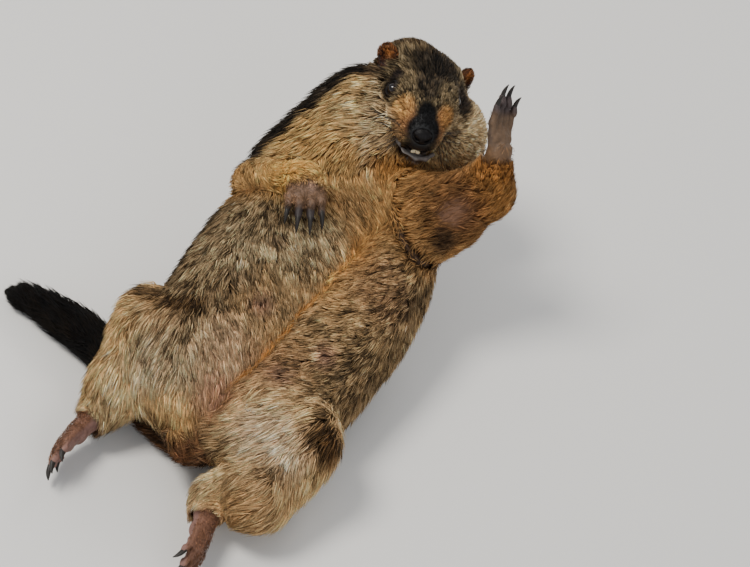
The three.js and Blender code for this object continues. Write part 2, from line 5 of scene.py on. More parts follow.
import bpy
import numpy as np
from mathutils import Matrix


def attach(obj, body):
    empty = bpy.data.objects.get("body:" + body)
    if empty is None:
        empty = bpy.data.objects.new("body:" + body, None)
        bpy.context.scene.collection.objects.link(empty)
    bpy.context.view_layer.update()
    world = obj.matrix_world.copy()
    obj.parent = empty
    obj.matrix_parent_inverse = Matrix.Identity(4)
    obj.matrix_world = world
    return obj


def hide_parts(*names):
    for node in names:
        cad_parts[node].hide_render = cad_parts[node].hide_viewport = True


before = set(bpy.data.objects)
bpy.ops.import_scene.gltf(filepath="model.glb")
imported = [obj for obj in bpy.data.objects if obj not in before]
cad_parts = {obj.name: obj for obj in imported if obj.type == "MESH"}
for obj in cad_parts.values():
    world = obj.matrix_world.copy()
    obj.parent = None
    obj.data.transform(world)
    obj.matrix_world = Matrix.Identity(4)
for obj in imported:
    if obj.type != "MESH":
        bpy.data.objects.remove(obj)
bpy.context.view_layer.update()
ORIGIN = np.array([-61.9, 93.2, 0.0])
F32 = np.float32
rng = np.random.default_rng(11)


# ------------------------------------------------------------------ vectors
def V3(*a):
    return np.array(a, float)


def unit(a):
    return a / (np.linalg.norm(a, axis=-1, keepdims=True) + 1e-12)


def lerp(a, b, t):
    return a + (b - a) * t


def ramp(x, a, b):
    t = np.clip((x - a) / (b - a), 0, 1)
    return t * t * (3 - 2 * t)


class Frame:
    def __init__(s, o, f, up):
        s.o, s.F = np.array(o, float), unit(np.array(f, float))
        s.L = unit(np.cross(np.array(up, float), s.F))
        s.U = np.cross(s.F, s.L)

    def at(s, f, l=0.0, u=0.0):
        return s.o + s.F * f + s.L * l + s.U * u

    def local(s, P):
        q = P - s.o
        return np.stack([q @ s.F, q @ s.L, q @ s.U], -1)


# ------------------------------------------------------------------ fields: negative inside
def cone(a, b, ra, rb):
    a, b = np.array(a, float), np.array(b, float)
    d = b - a
    l2 = d @ d

    def f(P):
        q = P - a
        t = np.clip(q @ d / l2, 0, 1)
        return np.linalg.norm(q - t[:, None] * d, axis=1) - lerp(ra, rb, t)

    return f


def egg_distance(x, y, z, rx, ry, rz):
    k0 = np.sqrt((x / rx) ** 2 + (y / ry) ** 2 + (z / rz) ** 2)
    k1 = np.sqrt((x / rx**2) ** 2 + (y / ry**2) ** 2 + (z / rz**2) ** 2)
    return np.where(k1 < 1e-9, -np.minimum(np.minimum(rx, ry), rz), k0 * (k0 - 1) / np.maximum(k1, 1e-9))


def egg(fr, c, r, tilt=0.0):
    o = fr.at(*c)
    ct, st = math.cos(math.radians(tilt)), math.sin(math.radians(tilt))
    Fa, Ua = fr.F * ct - fr.U * st, fr.F * st + fr.U * ct

    def f(P):
        q = P - o
        return egg_distance(q @ Fa, q @ fr.L, q @ Ua, *r)

    return f


def smin(a, b, k):
    k = np.maximum(k, 1e-6)
    h = np.maximum(k - np.abs(a - b), 0) / k
    return np.minimum(a, b) - h * h * k * 0.25


def smax(a, b, k):
    return -smin(-a, -b, k)


def blend(k, *fs):
    def f(P):
        v = fs[0](P)
        for g in fs[1:]:
            v = smin(v, g(P), k)
        return v

    return f


class Loft:
    """A body through smooth stations [x, y, z, half-width, up, down, roll]; sections square to the path."""

    def __init__(s, stations, side, steps=4):
        st = [list(map(float, q)) + [0.0] * (7 - len(q)) for q in stations]
        st = np.array(st)
        n, fine = len(st), []
        for i in range(n - 1):
            a, b, c, d = st[max(i - 1, 0)], st[i], st[i + 1], st[min(i + 2, n - 1)]
            for k in range(steps):
                t = k / steps
                fine.append(0.5 * (2 * b + (c - a) * t + (2 * a - 5 * b + 4 * c - d) * t * t + (3 * b - a - 3 * c + d) * t**3))
        fine.append(st[-1])
        fine = np.array(fine)
        s.c, s.r = fine[:, :3], fine[:, 3:6]
        s.n = len(fine)
        T = unit(np.array([s.c[min(i + 1, s.n - 1)] - s.c[max(i - 1, 0)] for i in range(s.n)]))
        side = np.array(side, float)
        u0 = unit(side - (T @ side)[:, None] * T)
        v0 = np.cross(u0, T)
        a = np.radians(fine[:, 6])[:, None]
        s.T, s.U, s.V = T, u0 * np.cos(a) - v0 * np.sin(a), u0 * np.sin(a) + v0 * np.cos(a)

    def nearest(s, P):
        best = np.full(len(P), 1e30)
        bi, bt = np.zeros(len(P), int), np.zeros(len(P))
        for i in range(s.n - 1):
            d = s.c[i + 1] - s.c[i]
            q = P - s.c[i]
            t = np.clip(q @ d / (d @ d), 0, 1)
            w = q - t[:, None] * d
            m = np.einsum("ij,ij->i", w, w)
            k = m < best
            best[k], bi[k], bt[k] = m[k], i, t[k]
        return bi, bt

    def __call__(s, P):
        bi, bt = s.nearest(P)
        t = bt[:, None]
        q = P - lerp(s.c[bi], s.c[bi + 1], t)
        U, W = lerp(s.U[bi], s.U[bi + 1], t), lerp(s.V[bi], s.V[bi + 1], t)
        u, v = np.einsum("ij,ij->i", q, U), np.einsum("ij,ij->i", q, W)
        w = np.sqrt(np.maximum(np.einsum("ij,ij->i", q, q) - u * u - v * v, 0))
        r = lerp(s.r[bi], s.r[bi + 1], t)
        return egg_distance(u, v, w, r[:, 0], np.where(v > 0, r[:, 1], r[:, 2]), r.min(1))

    def coords(s, P):
        """station 0..1, side -1..1 of the half-width, height -1..1, tangent"""
        bi, bt = s.nearest(P)
        t = bt[:, None]
        q = P - lerp(s.c[bi], s.c[bi + 1], t)
        U, W = lerp(s.U[bi], s.U[bi + 1], t), lerp(s.V[bi], s.V[bi + 1], t)
        r = lerp(s.r[bi], s.r[bi + 1], t)
        u, v = np.einsum("ij,ij->i", q, U), np.einsum("ij,ij->i", q, W)
        return (bi + bt) / (s.n - 1), u / r[:, 0], v / np.where(v > 0, r[:, 1], r[:, 2]), unit(lerp(s.T[bi], s.T[bi + 1], t)), U, W


# ------------------------------------------------------------------ the animal's forms, out to the tips of the coat
SPINE = [
    [-10, -56, 45, 24, 18, 26, 12],
    [-9, -40, 49, 58, 36, 44, 12],
    [-7, -8, 54, 84, 52, 56, 14],
    [-6, 34, 60, 97, 60, 64, 16],
    [-6, 80, 66, 102, 64, 71, 17],
    [-4, 126, 76, 104, 62, 81, 18],
    [-3, 168, 94, 99, 51, 80, 18],
    [-6, 206, 114, 86, 38, 66, 20],
    [-10, 234, 130, 70, 26, 58, 22],
    [-10, 256, 142, 54, 14, 48, 22],
]
trunk = Loft(SPINE, [1, 0, 0])
hump = cone([-57, 214, 107], [-36, 264, 160], 57, 48)


def head_frame():
    y, p, r = math.radians(28), math.radians(7), math.radians(6)
    fr = Frame([4.5, 284, 187], [math.sin(y) * math.cos(p), -math.cos(y) * math.cos(p), math.sin(p)], [0, 0, 1])
    L0, U0 = fr.L.copy(), fr.U.copy()
    fr.L, fr.U = L0 * math.cos(r) - U0 * math.sin(r), U0 * math.cos(r) + L0 * math.sin(r)
    return fr


HEAD = head_frame()


def pair(c, r, tilt=0.0):
    return [egg(HEAD, [c[0], c[1] * s, c[2]], r, tilt) for s in (-1, 1)]


FACE = [9.0]  # how softly the forms of the head melt together
HEAD_FORMS = [
    egg(HEAD, [-14, 0, 2], [40, 34, 28]),
    egg(HEAD, [-35, -11, 5], [28, 31, 33]),
    egg(HEAD, [18, 0, 8], [30, 17, 14], 14),
    *pair([15, 20, 1], [17, 11, 13]),
    egg(HEAD, [35, 0, -6], [17, 15, 13]),
    *pair([36, 8, -11], [12, 10, 8.5]),
    *pair([-4, 38, -20], [29, 25, 28]),
    *pair([-8, 29, -42], [24, 26, 22]),
    egg(HEAD, [-2, 43, -22], [28, 26, 25]),
    egg(HEAD, [3, 46, -38], [27, 26.5, 27]),
    egg(HEAD, [-24, 19, 11], [21, 20, 20]),
    egg(HEAD, [20, 22, -51], [15, 15, 13]),
    egg(HEAD, [20, 0, -29], [21, 14, 9]),
    egg(HEAD, [-10, 0, -28], [28, 36, 20]),
    *pair([8, 21, 19], [13, 8, 6], 10),
]


def headF(P):
    v = HEAD_FORMS[0](P)
    for g in HEAD_FORMS[1:]:
        v = smin(v, g(P), FACE[0])
    return v


neckF = blend(20, cone([-14, 252, 128], HEAD.at(-30, -4, -6), 42, 38), hump)

SHOULDER_R, ELBOW_R, WRIST_R = V3(-52, 212, 118), V3(-84, 164, 124), V3(-40, 163, 160.6)
SHOULDER_L, ELBOW_L, WRIST_L = V3(48, 222, 122), V3(94, 256, 150), V3(94, 253, 198)
HIP_R, KNEE_R, HOCK_R = V3(-46, -10, 56), V3(-94, 18, 68), V3(-93, -58, 30)
HIP_L, KNEE_L, HOCK_L = V3(34, -10, 56), V3(67, -8, 64), V3(28, -86, 28)
PAW_R = Frame(WRIST_R, [0.44, -0.88, -0.12], [0.12, -0.35, 0.93])
PAW_L = Frame(WRIST_L, [-0.40, 0.585, 0.72], [-0.80, 0.2, -0.56])
FOOT_R = Frame(HOCK_R, [-0.16, -0.98, -0.12], [-1, 0.15, 0.30])
FOOT_L = Frame(HOCK_L, [0.30, -0.94, -0.08], [1, 0.25, 0.30])

armRF = blend(14, cone(SHOULDER_R, ELBOW_R, 34, 21), cone(ELBOW_R, WRIST_R, 20, 14.5))
armLF = blend(14, blend(16, cone(SHOULDER_L, ELBOW_L, 36, 22), cone([56, 202, 104], [84, 232, 122], 28, 22)), cone(ELBOW_L, WRIST_L, 25, 13.5))
heelR = cone(FOOT_R.at(-7, 0, -4), FOOT_R.at(14, 0, -1), 13, 12)
heelL = cone(FOOT_L.at(-7, 0, -4), FOOT_L.at(14, 0, -1), 13, 12)
_thighR = blend(16, cone(HIP_R, KNEE_R, 46, 34), cone([-84, 2, 58], [-90, -36, 42], 32, 28))
_shankR = cone(KNEE_R, HOCK_R, 31, 19)
_thighL = blend(16, cone(HIP_L, KNEE_L, 46, 30), cone([66, -18, 50], [60, -66, 38], 36, 31))
_shankL = cone(KNEE_L, HOCK_L, 29, 17)


def legRF(P):
    return smin(smin(_thighR(P), _shankR(P), 12), heelR(P), 10)


def legLF(P):
    return smin(smin(_thighL(P), _shankL(P), 12), heelL(P), 10)


TAIL = [
    [-12, -34, 22, 20, 16, 22],
    [-48, -32, 19, 18, 14, 19],
    [-90, -16, 17, 17, 14, 18],
    [-128, 4, 17.5, 19, 17, 19],
    [-160, 14, 17.5, 20, 17, 19],
    [-200, 20, 15, 17, 13, 16],
    [-226, 21, 11, 10, 8, 11],
    [-240, 21, 8, 4, 3.5, 6],
]
tail = Loft(TAIL, [0.2, 1, 0])


def near(P, c, r):
    return np.exp(-(np.linalg.norm(P - c, axis=1) / r) ** 2)


def axial_parts(P):
    t, n, h = trunk(P), neckF(P), headF(P)
    return t, n, h, smin(smin(t, n, 26), h, 12)


def body_parts(P):
    t, n, h, v = axial_parts(P)
    ar, al, lr, ll, tl = armRF(P), armLF(P), legRF(P), legLF(P), tail(P)
    v = smin(v, ar, 2 + 26 * near(P, SHOULDER_R, 42))
    v = smin(v, al, 2 + 26 * near(P, SHOULDER_L, 44))
    v = smin(v, lr, 3 + 30 * near(P, HIP_R, 60))
    v = smin(v, ll, 3 + 30 * near(P, HIP_L, 56))
    v = smin(v, tl, 2 + 10 * near(P, np.array(TAIL[0][:3], float), 34))
    return v, dict(trunk=t, neck=n, head=h, arm_r=ar, arm_l=al, leg_r=lr, leg_l=ll, tail=tl)


# ------------------------------------------------------------------ paws
FORE = dict(palm=[[2, 0, 11, 9], [9, 0, 12, 8.2], [16, 0, 14, 7], [22, -0.5, 14, 5.2]], knuckles=18, toe=4.4, length=22, claw=15.0)
HIND = dict(palm=[[-9, 0, 11.5, 12], [10, 0, 10, 10], [32, 0, 12.5, 8], [47, -0.5, 13.6, 6]], knuckles=44, toe=4.3, length=21, claw=11.0)
FORE_L = dict(FORE, length=26, claw=15.0 * 0.74)
PAWS = {
    "forepaw_right": (PAW_R, FORE, [[-12, -4, -7, 0, 0.9], [-4.2, 0, -2, 0.05, 1], [4.2, 0, 3, 0.05, 1], [12, -3, 8, 0.12, 0.92]]),
    "forepaw_left": (PAW_L, FORE_L, [[-10.5, -3, -4, 0.1, 1.02], [-3.8, 1, -1, 0, 1.14], [3.8, 1, 0, 0, 1.14], [9.5, -3, 3, 0.1, 1.02]]),
    "hindfoot_right": (FOOT_R, HIND, [[-11.4, -9, -13, 0.15, 0.85], [-6, -1, -5, 0.1, 1], [0, 0, 0, 0.1, 1], [6, -1, 5, 0.1, 1], [11.4, -7, 12, 0.15, 0.9]]),
    "hindfoot_left": (FOOT_L, HIND, [[-11.4, -7, -12, 0.15, 0.9], [-6, -1, -5, 0.1, 1], [0, 0, 0, 0.1, 1], [6, -1, 5, 0.1, 1], [11.4, -9, 13, 0.15, 0.85]]),
}


def toe_chain(fr, o, toe):
    l, reach, spread, curl, size = toe
    a, r, n, f = math.radians(spread), o["toe"] * size, o["length"] * size, o["knuckles"] + reach
    p0 = fr.at(f - 7, l * 0.9, 0)
    p1 = fr.at(f + math.cos(a) * n * 0.45, l + math.sin(a) * n * 0.45, -n * (0.04 + 0.12 * curl))
    p2 = fr.at(f + math.cos(a) * n * (1 - 0.28 * curl), l + math.sin(a) * n, -n * (0.16 + 0.62 * curl))
    return p0, p1, p2, r


def paw_field(name):
    fr, o, toes = PAWS[name]
    palm = Loft([[*fr.at(f, 0, u), w, h, h, 0] for f, u, w, h in o["palm"]], fr.L, 3)
    parts, pads = [], []
    for t in toes:
        p0, p1, p2, r = toe_chain(fr, o, t)
        r *= 1.16 if name == "forepaw_right" else 1
        parts.append((cone(p0, p1, r * 0.98, r * 0.9), cone(p1, p2, r * 0.92, r * 0.74)))
        pads.append(egg(fr, fr.local(lerp(p1, p2, 0.72)[None])[0] + V3(0, 0, -r * 0.55), [r * 1.0, r * 0.72, r * 0.55]))
    k = o["knuckles"]
    s = o["palm"][-1][2]
    for l, f in ((-0.55, -1), (0.0, 1.5), (0.55, -1)):
        pads.append(egg(fr, [k - 3 + f, l * s, -o["palm"][-1][3] * 0.75], [4.6, 3.9, 3.0]))
    if o is not HIND:
        pads += [egg(fr, [5, -5.2, -6.6], [5.5, 4.4, 3.2]), egg(fr, [5, 5.2, -6.6], [5.5, 4.4, 3.2])]
    else:
        pads += [egg(fr, [k - 16, -5.5, -6.8], [6.5, 3.6, 2.6]), egg(fr, [k - 14, 5.5, -6.8], [5.5, 3.4, 2.6])]

    def f(P):
        v = palm(P)
        for a, b in parts:
            v = smin(v, smin(a(P), b(P), 2.5), 1.6)
        for q in pads:
            v = smin(v, q(P), 1.8)
        return v

    return f


paw_fields = {n: paw_field(n) for n in PAWS}
paw_centres = {n: PAWS[n][0].at(20 if "fore" in n else 26, 0, -2) for n in PAWS}

# ------------------------------------------------------------------ face: where the eyes, ears and mouth lie
EYE_R, EYE_OUT = 6.2, 2.8
EARS, EYES = {}, {}
for s, word in ((-1, "right"), (1, "left")):
    c, d = (V3(8.9, -14.6, 8.1), unit(V3(0.3, -0.85, 0.43))) if s < 0 else (V3(8, 12, 12), unit(V3(0.28, 1, 0.2)))
    lo, hi = 0.0, 60.0
    for _ in range(30):
        m = (lo + hi) / 2
        if axial_parts(HEAD.at(*(c + d * m))[None])[3][0] < 0:
            lo = m
        else:
            hi = m
    EYES[word] = (HEAD.at(*(c + d * (lo + EYE_OUT - EYE_R))), unit(HEAD.F * d[0] + HEAD.L * d[1] + HEAD.U * d[2]))
    EARS[word] = Frame(HEAD.at(-26, -33, 17) if s < 0 else HEAD.at(-27, 38.5, 9), HEAD.F * 0.72 + HEAD.L * 0.70 * s, HEAD.U + HEAD.L * 0.45 * s)


FACE[0] = 15.0


def ear_field(word):
    fr = EARS[word]
    outer, inner = egg(fr, [0, 0, 3], [4.4, 10.2, 13.2]), egg(fr, [4.6, 0, 4.5], [5.2, 7.8, 10.4])
    rim, tragus = egg(fr, [1.5, 0, 3], [2.2, 10.4, 13.4]), egg(fr, [3.0, 0, -7], [3.4, 5.0, 4.0])
    return lambda P: smin(smax(outer(P), -inner(P), 1.2), tragus(P), 2.0)


ear_fields = {w: ear_field(w) for w in EARS}
mouth_slot = egg(HEAD, [43, 1, -23.2], [12, 14.5, 4.2], 14)
upper_lip = egg(HEAD, [46.4, 0, -11.5], [4.6, 9.6, 6.2])
LIP = [[38, -16, -20.5], [42, -8, -26.0], [44, 3, -30.0], [40, 13, -31.5], [32, 20, -31.0]]
lip_low = blend(3, *[cone(HEAD.at(*a), HEAD.at(*b), 1.9, 1.9) for a, b in zip(LIP, LIP[1:])], egg(HEAD, [32, 3, -33], [9.5, 11, 5.5], 10))
nose_pad = egg(HEAD, [47.5, 0, -3.5], [7.5, 9.6, 8.6], 12)
tooth_bed = egg(HEAD, [45, 0, -17], [4.2, 4.8, 6.5])


def torus_dist(P, c, axis, R):
    q = P - c
    h = q @ axis
    rad = np.linalg.norm(q - h[:, None] * axis, axis=1)
    return np.sqrt((rad - R) ** 2 + h * h)


def eyelid(P, c, ax, r):
    """A low mound round the eyeball with an almond opening."""
    x = unit(HEAD.F * 0.9 - HEAD.U * 0.35 - ax * ((HEAD.F * 0.9 - HEAD.U * 0.35) @ ax))
    y = np.cross(ax, x)
    y = y if y @ HEAD.U > 0 else -y
    q = P - c
    a, b, h = q @ x, q @ y, q @ ax
    k = np.sqrt((a / 7.2) ** 2 + ((b + 0.2) / 5.4) ** 2)
    opening = (k - 1) * 5.8
    mound = np.linalg.norm(P - (c - ax * 3.2), axis=1) - 9.2
    return smax(smin(r - (EYE_R + 0.8), mound, 3.0), smin(-opening, h * -1.0 + 30.0, 0.1), 0.8)


# ------------------------------------------------------------------ coat depth and the skin's own field
def weights(parts, sharp=5.0):
    names = list(parts)
    M = np.stack([parts[n] for n in names])
    w = np.exp(-(M - M.min(0)) / sharp)
    w /= w.sum(0)
    return dict(zip(names, w))


def coat_depth(P, parts):
    """How far the skin lies inside the tips of the coat, in millimetres."""
    w = weights(parts)
    st, u, v, *_ = trunk.coords(P)
    back = ramp(-v, -0.2, 0.9)
    d_trunk = 7.5 + 4.5 * back
    q = HEAD.local(P)
    f, l, h = q[:, 0], np.abs(q[:, 1]), q[:, 2]
    d_head = 3.6 + 3.2 * ramp(l, 26, 50) * ramp(-h, -10, 14) + 0.8 * ramp(-f, 6, 34)
    d_head = lerp(d_head, 1.9, ramp(f, 10, 30))
    d_head = lerp(d_head, 0.8, ramp(f, 34, 44))
    for w_ in EYES:
        d_head = lerp(d_head, 1.3, near(P, EYES[w_][0], 12))
    d_ar = 6.5 - 3.8 * near(P, WRIST_R, 22)
    d_al = 6.2 - 3.9 * near(P, WRIST_L, 24)
    d_lr = 10 - 5.0 * near(P, HOCK_R, 26)
    d_ll = 9.5 - 5.0 * near(P, HOCK_L, 26)
    d_tail = 10.5 - 5.5 * ramp(-P[:, 0], 200, 236)
    d = w["trunk"] * d_trunk + w["neck"] * 10 + w["head"] * d_head + w["arm_r"] * d_ar + w["arm_l"] * d_al + w["leg_r"] * d_lr + w["leg_l"] * d_ll + w["tail"] * d_tail
    return d, w


def skin_field(P):
    v, parts = body_parts(P)
    d, w = coat_depth(P, parts)
    S = v + d
    for n, f in paw_fields.items():
        m = np.linalg.norm(P - paw_centres[n], axis=1) < 62
        if m.any():
            S[m] = smin(S[m], f(P[m]) + 0.7, 5)
    near_head = np.linalg.norm(P - HEAD.at(10, 0, 0), axis=1) < 85
    if near_head.any():
        Q, s = P[near_head], S[near_head]
        for word in EARS:
            s = smin(s, ear_fields[word](Q), 3.0)
        s = smin(s, upper_lip(Q), 4.0)
        s = smin(s, lip_low(Q), 3.0)
        s = smax(s, -mouth_slot(Q), 1.5)
        s = smax(s, -(tooth_bed(Q) - 0.2), 1.0)
        s = smax(s, -(nose_pad(Q) + 0.2), 1.6)
        for word, (c, ax) in EYES.items():
            r = np.linalg.norm(Q - c, axis=1)
            lid = eyelid(Q, c, ax, r)
            s = smax(s, 10.5 - np.linalg.norm(Q - (c + ax * 14.6), axis=1), 5)
            s = smin(s, lid, 3.0)
            s = smax(s, -(r - EYE_R - 0.12), 0.3)
        S[near_head] = s
    return smax(S, 3.2 - P[:, 2], 3.0)


# ------------------------------------------------------------------ a closed mesh of a field on a grid of uneven steps
def steps(*spans):
    out = []
    for a, b, h in spans:
        n = max(1, int(round((b - a) / h)))
        out += list(a + (b - a) * np.arange(n) / n)
    out.append(spans[-1][1])
    return np.array(out)


def chunked(f, P, n=120_000):
    return np.concatenate([f(P[i : i + n]) for i in range(0, len(P), n)])


def sample_field(field, X, Y, Z, coarse=10.0, reach=1.5):
    """Field values on the grid X x Y x Z: exact near the surface, rough far from it."""
    lo, hi = V3(X[0], Y[0], Z[0]), V3(X[-1], Y[-1], Z[-1])
    n = np.maximum(2, np.ceil((hi - lo) / coarse).astype(int) + 1)
    ax = [np.linspace(lo[i], hi[i], n[i]) for i in range(3)]
    G = np.stack(np.meshgrid(*ax, indexing="ij"), -1).reshape(-1, 3)
    C = chunked(field, G).reshape(*n)
    idx = [np.clip((q - lo[i]) / (hi[i] - lo[i]) * (n[i] - 1), 0, n[i] - 1 - 1e-6) for i, q in enumerate((X, Y, Z))]
    i0 = [q.astype(int) for q in idx]
    fr = [(q - k).astype(F32) for q, k in zip(idx, i0)]
    A = C.astype(F32)
    A = A[i0[0]] * (1 - fr[0])[:, None, None] + A[i0[0] + 1] * fr[0][:, None, None]
    A = A[:, i0[1]] * (1 - fr[1])[None, :, None] + A[:, i0[1] + 1] * fr[1][None, :, None]
    A = A[:, :, i0[2]] * (1 - fr[2])[None, None, :] + A[:, :, i0[2] + 1] * fr[2][None, None, :]
    band = np.argwhere(np.abs(A) < coarse * reach)
    P = np.stack([X[band[:, 0]], Y[band[:, 1]], Z[band[:, 2]]], -1)
    A[band[:, 0], band[:, 1], band[:, 2]] = chunked(field, P)
    return A


def surface_net(A, X, Y, Z):
    S = A < 0
    n = A.shape
    any_, all_ = np.zeros([k - 1 for k in n], bool), np.ones([k - 1 for k in n], bool)
    for dx in (0, 1):
        for dy in (0, 1):
            for dz in (0, 1):
                c = S[dx : n[0] - 1 + dx, dy : n[1] - 1 + dy, dz : n[2] - 1 + dz]
                any_ |= c
                all_ &= c
    cells = np.argwhere(any_ & ~all_)
    ids = np.full(any_.shape, -1, np.int64)
    ids[cells[:, 0], cells[:, 1], cells[:, 2]] = np.arange(len(cells))
    acc, cnt = np.zeros((len(cells), 3)), np.zeros(len(cells))
    axes = (X, Y, Z)
    for a in range(3):
        b, c = (a + 1) % 3, (a + 2) % 3
        for ob in (0, 1):
            for oc in (0, 1):
                i = cells.copy()
                i[:, b] += ob
                i[:, c] += oc
                j = i.copy()
                j[:, a] += 1
                va, vb = A[i[:, 0], i[:, 1], i[:, 2]].astype(float), A[j[:, 0], j[:, 1], j[:, 2]].astype(float)
                m = (va < 0) != (vb < 0)
                t = np.where(m, va / np.where(m, va - vb, 1), 0)
                pi = np.stack([axes[k][i[:, k]] for k in range(3)], -1)
                pj = np.stack([axes[k][j[:, k]] for k in range(3)], -1)
                acc += np.where(m[:, None], pi + (pj - pi) * t[:, None], 0)
                cnt += m
    Pn = acc / cnt[:, None]
    quads = []
    for a in range(3):
        b, c = (a + 1) % 3, (a + 2) % 3
        sl0, sl1 = [slice(None)] * 3, [slice(None)] * 3
        sl0[a], sl1[a] = slice(0, n[a] - 1), slice(1, n[a])
        cross = np.argwhere(S[tuple(sl0)] != S[tuple(sl1)])
        cross = cross[(cross[:, b] > 0) & (cross[:, c] > 0) & (cross[:, b] < n[b] - 1) & (cross[:, c] < n[c] - 1)]
        inside_first = S[cross[:, 0], cross[:, 1], cross[:, 2]]
        q = []
        for ob, oc in ((-1, -1), (0, -1), (0, 0), (-1, 0)):
            k = cross.copy()
            k[:, b] += ob
            k[:, c] += oc
            q.append(ids[k[:, 0], k[:, 1], k[:, 2]])
        q = np.stack(q, -1)
        q[~inside_first] = q[~inside_first][:, ::-1]
        quads.append(q)
    return Pn, np.concatenate(quads)


def vertex_normals(P, Q):
    n = unit(np.cross(P[Q[:, 2]] - P[Q[:, 0]], P[Q[:, 3]] - P[Q[:, 1]]) + 1e-20)
    N = np.zeros_like(P)
    for k in range(4):
        np.add.at(N, Q[:, k], n)
    return unit(N)


def relax(P, Q, field, rounds=2, pull=0.5):
    """Evens the mesh out and draws it back onto the surface."""
    for _ in range(rounds):
        acc, cnt = np.zeros_like(P), np.zeros(len(P))
        for a, b in ((0, 1), (1, 2), (2, 3), (3, 0)):
            np.add.at(acc, Q[:, a], P[Q[:, b]])
            np.add.at(acc, Q[:, b], P[Q[:, a]])
            np.add.at(cnt, Q[:, a], 1)
            np.add.at(cnt, Q[:, b], 1)
        P = lerp(P, acc / np.maximum(cnt, 1)[:, None], pull)
    N = vertex_normals(P, Q)
    f0, f1 = chunked(field, P - N * 0.4), chunked(field, P + N * 0.4)
    g = np.clip((f1 - f0) / 0.8, 0.35, 2.5)
    step = np.clip((f0 + f1) / 2 / g, -1.2, 1.2)
    return P - N * step[:, None]


# ------------------------------------------------------------------ meshes and materials
def metres(P):
    return (np.asarray(P, float) - ORIGIN) / 1000.0


def new_object(name, P, faces, smooth=True):
    """faces is an (n, k) array of corners; P is in millimetres in the animal's frame."""
    me = bpy.data.meshes.new(name)
    faces = np.asarray(faces)
    n, k = faces.shape
    me.vertices.add(len(P))
    me.vertices.foreach_set("co", metres(P).astype(F32).ravel())
    me.loops.add(n * k)
    me.loops.foreach_set("vertex_index", faces.astype(np.int32).ravel())
    me.polygons.add(n)
    me.polygons.foreach_set("loop_start", (np.arange(n) * k).astype(np.int32))
    if smooth:
        me.polygons.foreach_set("use_smooth", np.ones(n, bool))
    me.update(calc_edges=True)
    ob = bpy.data.objects.new(name, me)
    bpy.context.scene.collection.objects.link(ob)
    return ob


def paint(ob, name, rgb):
    a = ob.data.color_attributes.new(name, "FLOAT_COLOR", "POINT")
    buf = np.ones((len(rgb), 4), F32)
    buf[:, :3] = rgb
    a.data.foreach_set("color", buf.ravel())


def srgb(r, g, b):
    c = np.array([r, g, b], float) / 255.0
    return np.where(c <= 0.04045, c / 12.92, ((c + 0.055) / 1.055) ** 2.4)


def material(name):
    m = bpy.data.materials.new(name)
    m.use_nodes = True
    nt = m.node_tree
    bsdf = nt.nodes["Principled BSDF"]
    return m, nt, bsdf


def node(nt, kind, **kw):
    n = nt.nodes.new(kind)
    for k, v in kw.items():
        setattr(n, k, v)
    return n


def bump(nt, bsdf, height, strength, distance):
    b = node(nt, "ShaderNodeBump")
    b.inputs["Strength"].default_value = strength
    b.inputs["Distance"].default_value = distance
    nt.links.new(height, b.inputs["Height"])
    nt.links.new(b.outputs["Normal"], bsdf.inputs["Normal"])
    return b


def noise(nt, scale, detail=3.0, rough=0.55, coords=None, vec_scale=None):
    n = node(nt, "ShaderNodeTexNoise")
    n.inputs["Scale"].default_value = scale
    n.inputs["Detail"].default_value = detail
    n.inputs["Roughness"].default_value = rough
    if coords is not None:
        src = coords
        if vec_scale is not None:
            mp = node(nt, "ShaderNodeMapping")
            mp.inputs["Scale"].default_value = vec_scale
            nt.links.new(src, mp.inputs["Vector"])
            src = mp.outputs["Vector"]
        nt.links.new(src, n.inputs["Vector"])
    return n


def lump(P, scale, seed=0):
    """A cheap smooth random pattern in space, about -1..1: a few crossed waves."""
    r = np.random.default_rng(1000 + seed)
    v = np.zeros(len(P))
    for k in range(7):
        d = unit(r.normal(size=3))
        v += np.sin(P @ d * (2 * math.pi / scale) * r.uniform(0.6, 1.7) + r.uniform(0, 6.28))
    return v / 3.2


# ------------------------------------------------------------------ camera, light and floor
CAM = V3(311.0, -817.3, 1142.4)
XC, YC = V3(0.877, 0.442, 0.187), V3(-0.444, 0.600, 0.665)
XC = unit(XC)
YC = unit(YC - XC * (YC @ XC))
ZC = np.cross(XC, YC)
from mathutils import Matrix, Vector

cam_data = bpy.data.cameras.new("camera")
cam_data.sensor_width, cam_data.lens = 36.0, 1670.0 * 36.0 / 750.0
cam_data.clip_start, cam_data.clip_end = 0.05, 30.0
cam = bpy.data.objects.new("camera", cam_data)
M = Matrix(((XC[0], YC[0], ZC[0], 0), (XC[1], YC[1], ZC[1], 0), (XC[2], YC[2], ZC[2], 0), (0, 0, 0, 1)))
M.translation = Vector(metres(CAM))
cam.matrix_world = M
bpy.context.scene.collection.objects.link(cam)
bpy.context.scene.camera = cam

world = bpy.data.worlds.new("studio")
world.use_nodes = True
bg = world.node_tree.nodes["Background"]
bg.inputs["Color"].default_value = (0.86, 0.90, 0.96, 1)
bg.inputs["Strength"].default_value = 0.62
bpy.context.scene.world = world


def area(name, loc, target, size, watts, colour):
    d = bpy.data.lights.new(name, "AREA")
    d.shape, d.size, d.energy, d.color = "DISK", size, watts, colour
    o = bpy.data.objects.new(name, d)
    o.location = loc
    o.rotation_euler = (Vector(target) - Vector(loc)).to_track_quat("-Z", "Y").to_euler()
    bpy.context.scene.collection.objects.link(o)


area("key", (-0.9, -0.5, 2.0), (0.03, 0.0, 0.08), 0.8, 46, (1.0, 0.97, 0.92))
area("fill", (1.7, -1.3, 1.2), (0.03, 0.0, 0.08), 1.6, 14, (0.93, 0.96, 1.0))
area("rim", (0.3, 1.9, 1.5), (0.03, 0.0, 0.1), 1.0, 18, (1.0, 0.98, 0.95))

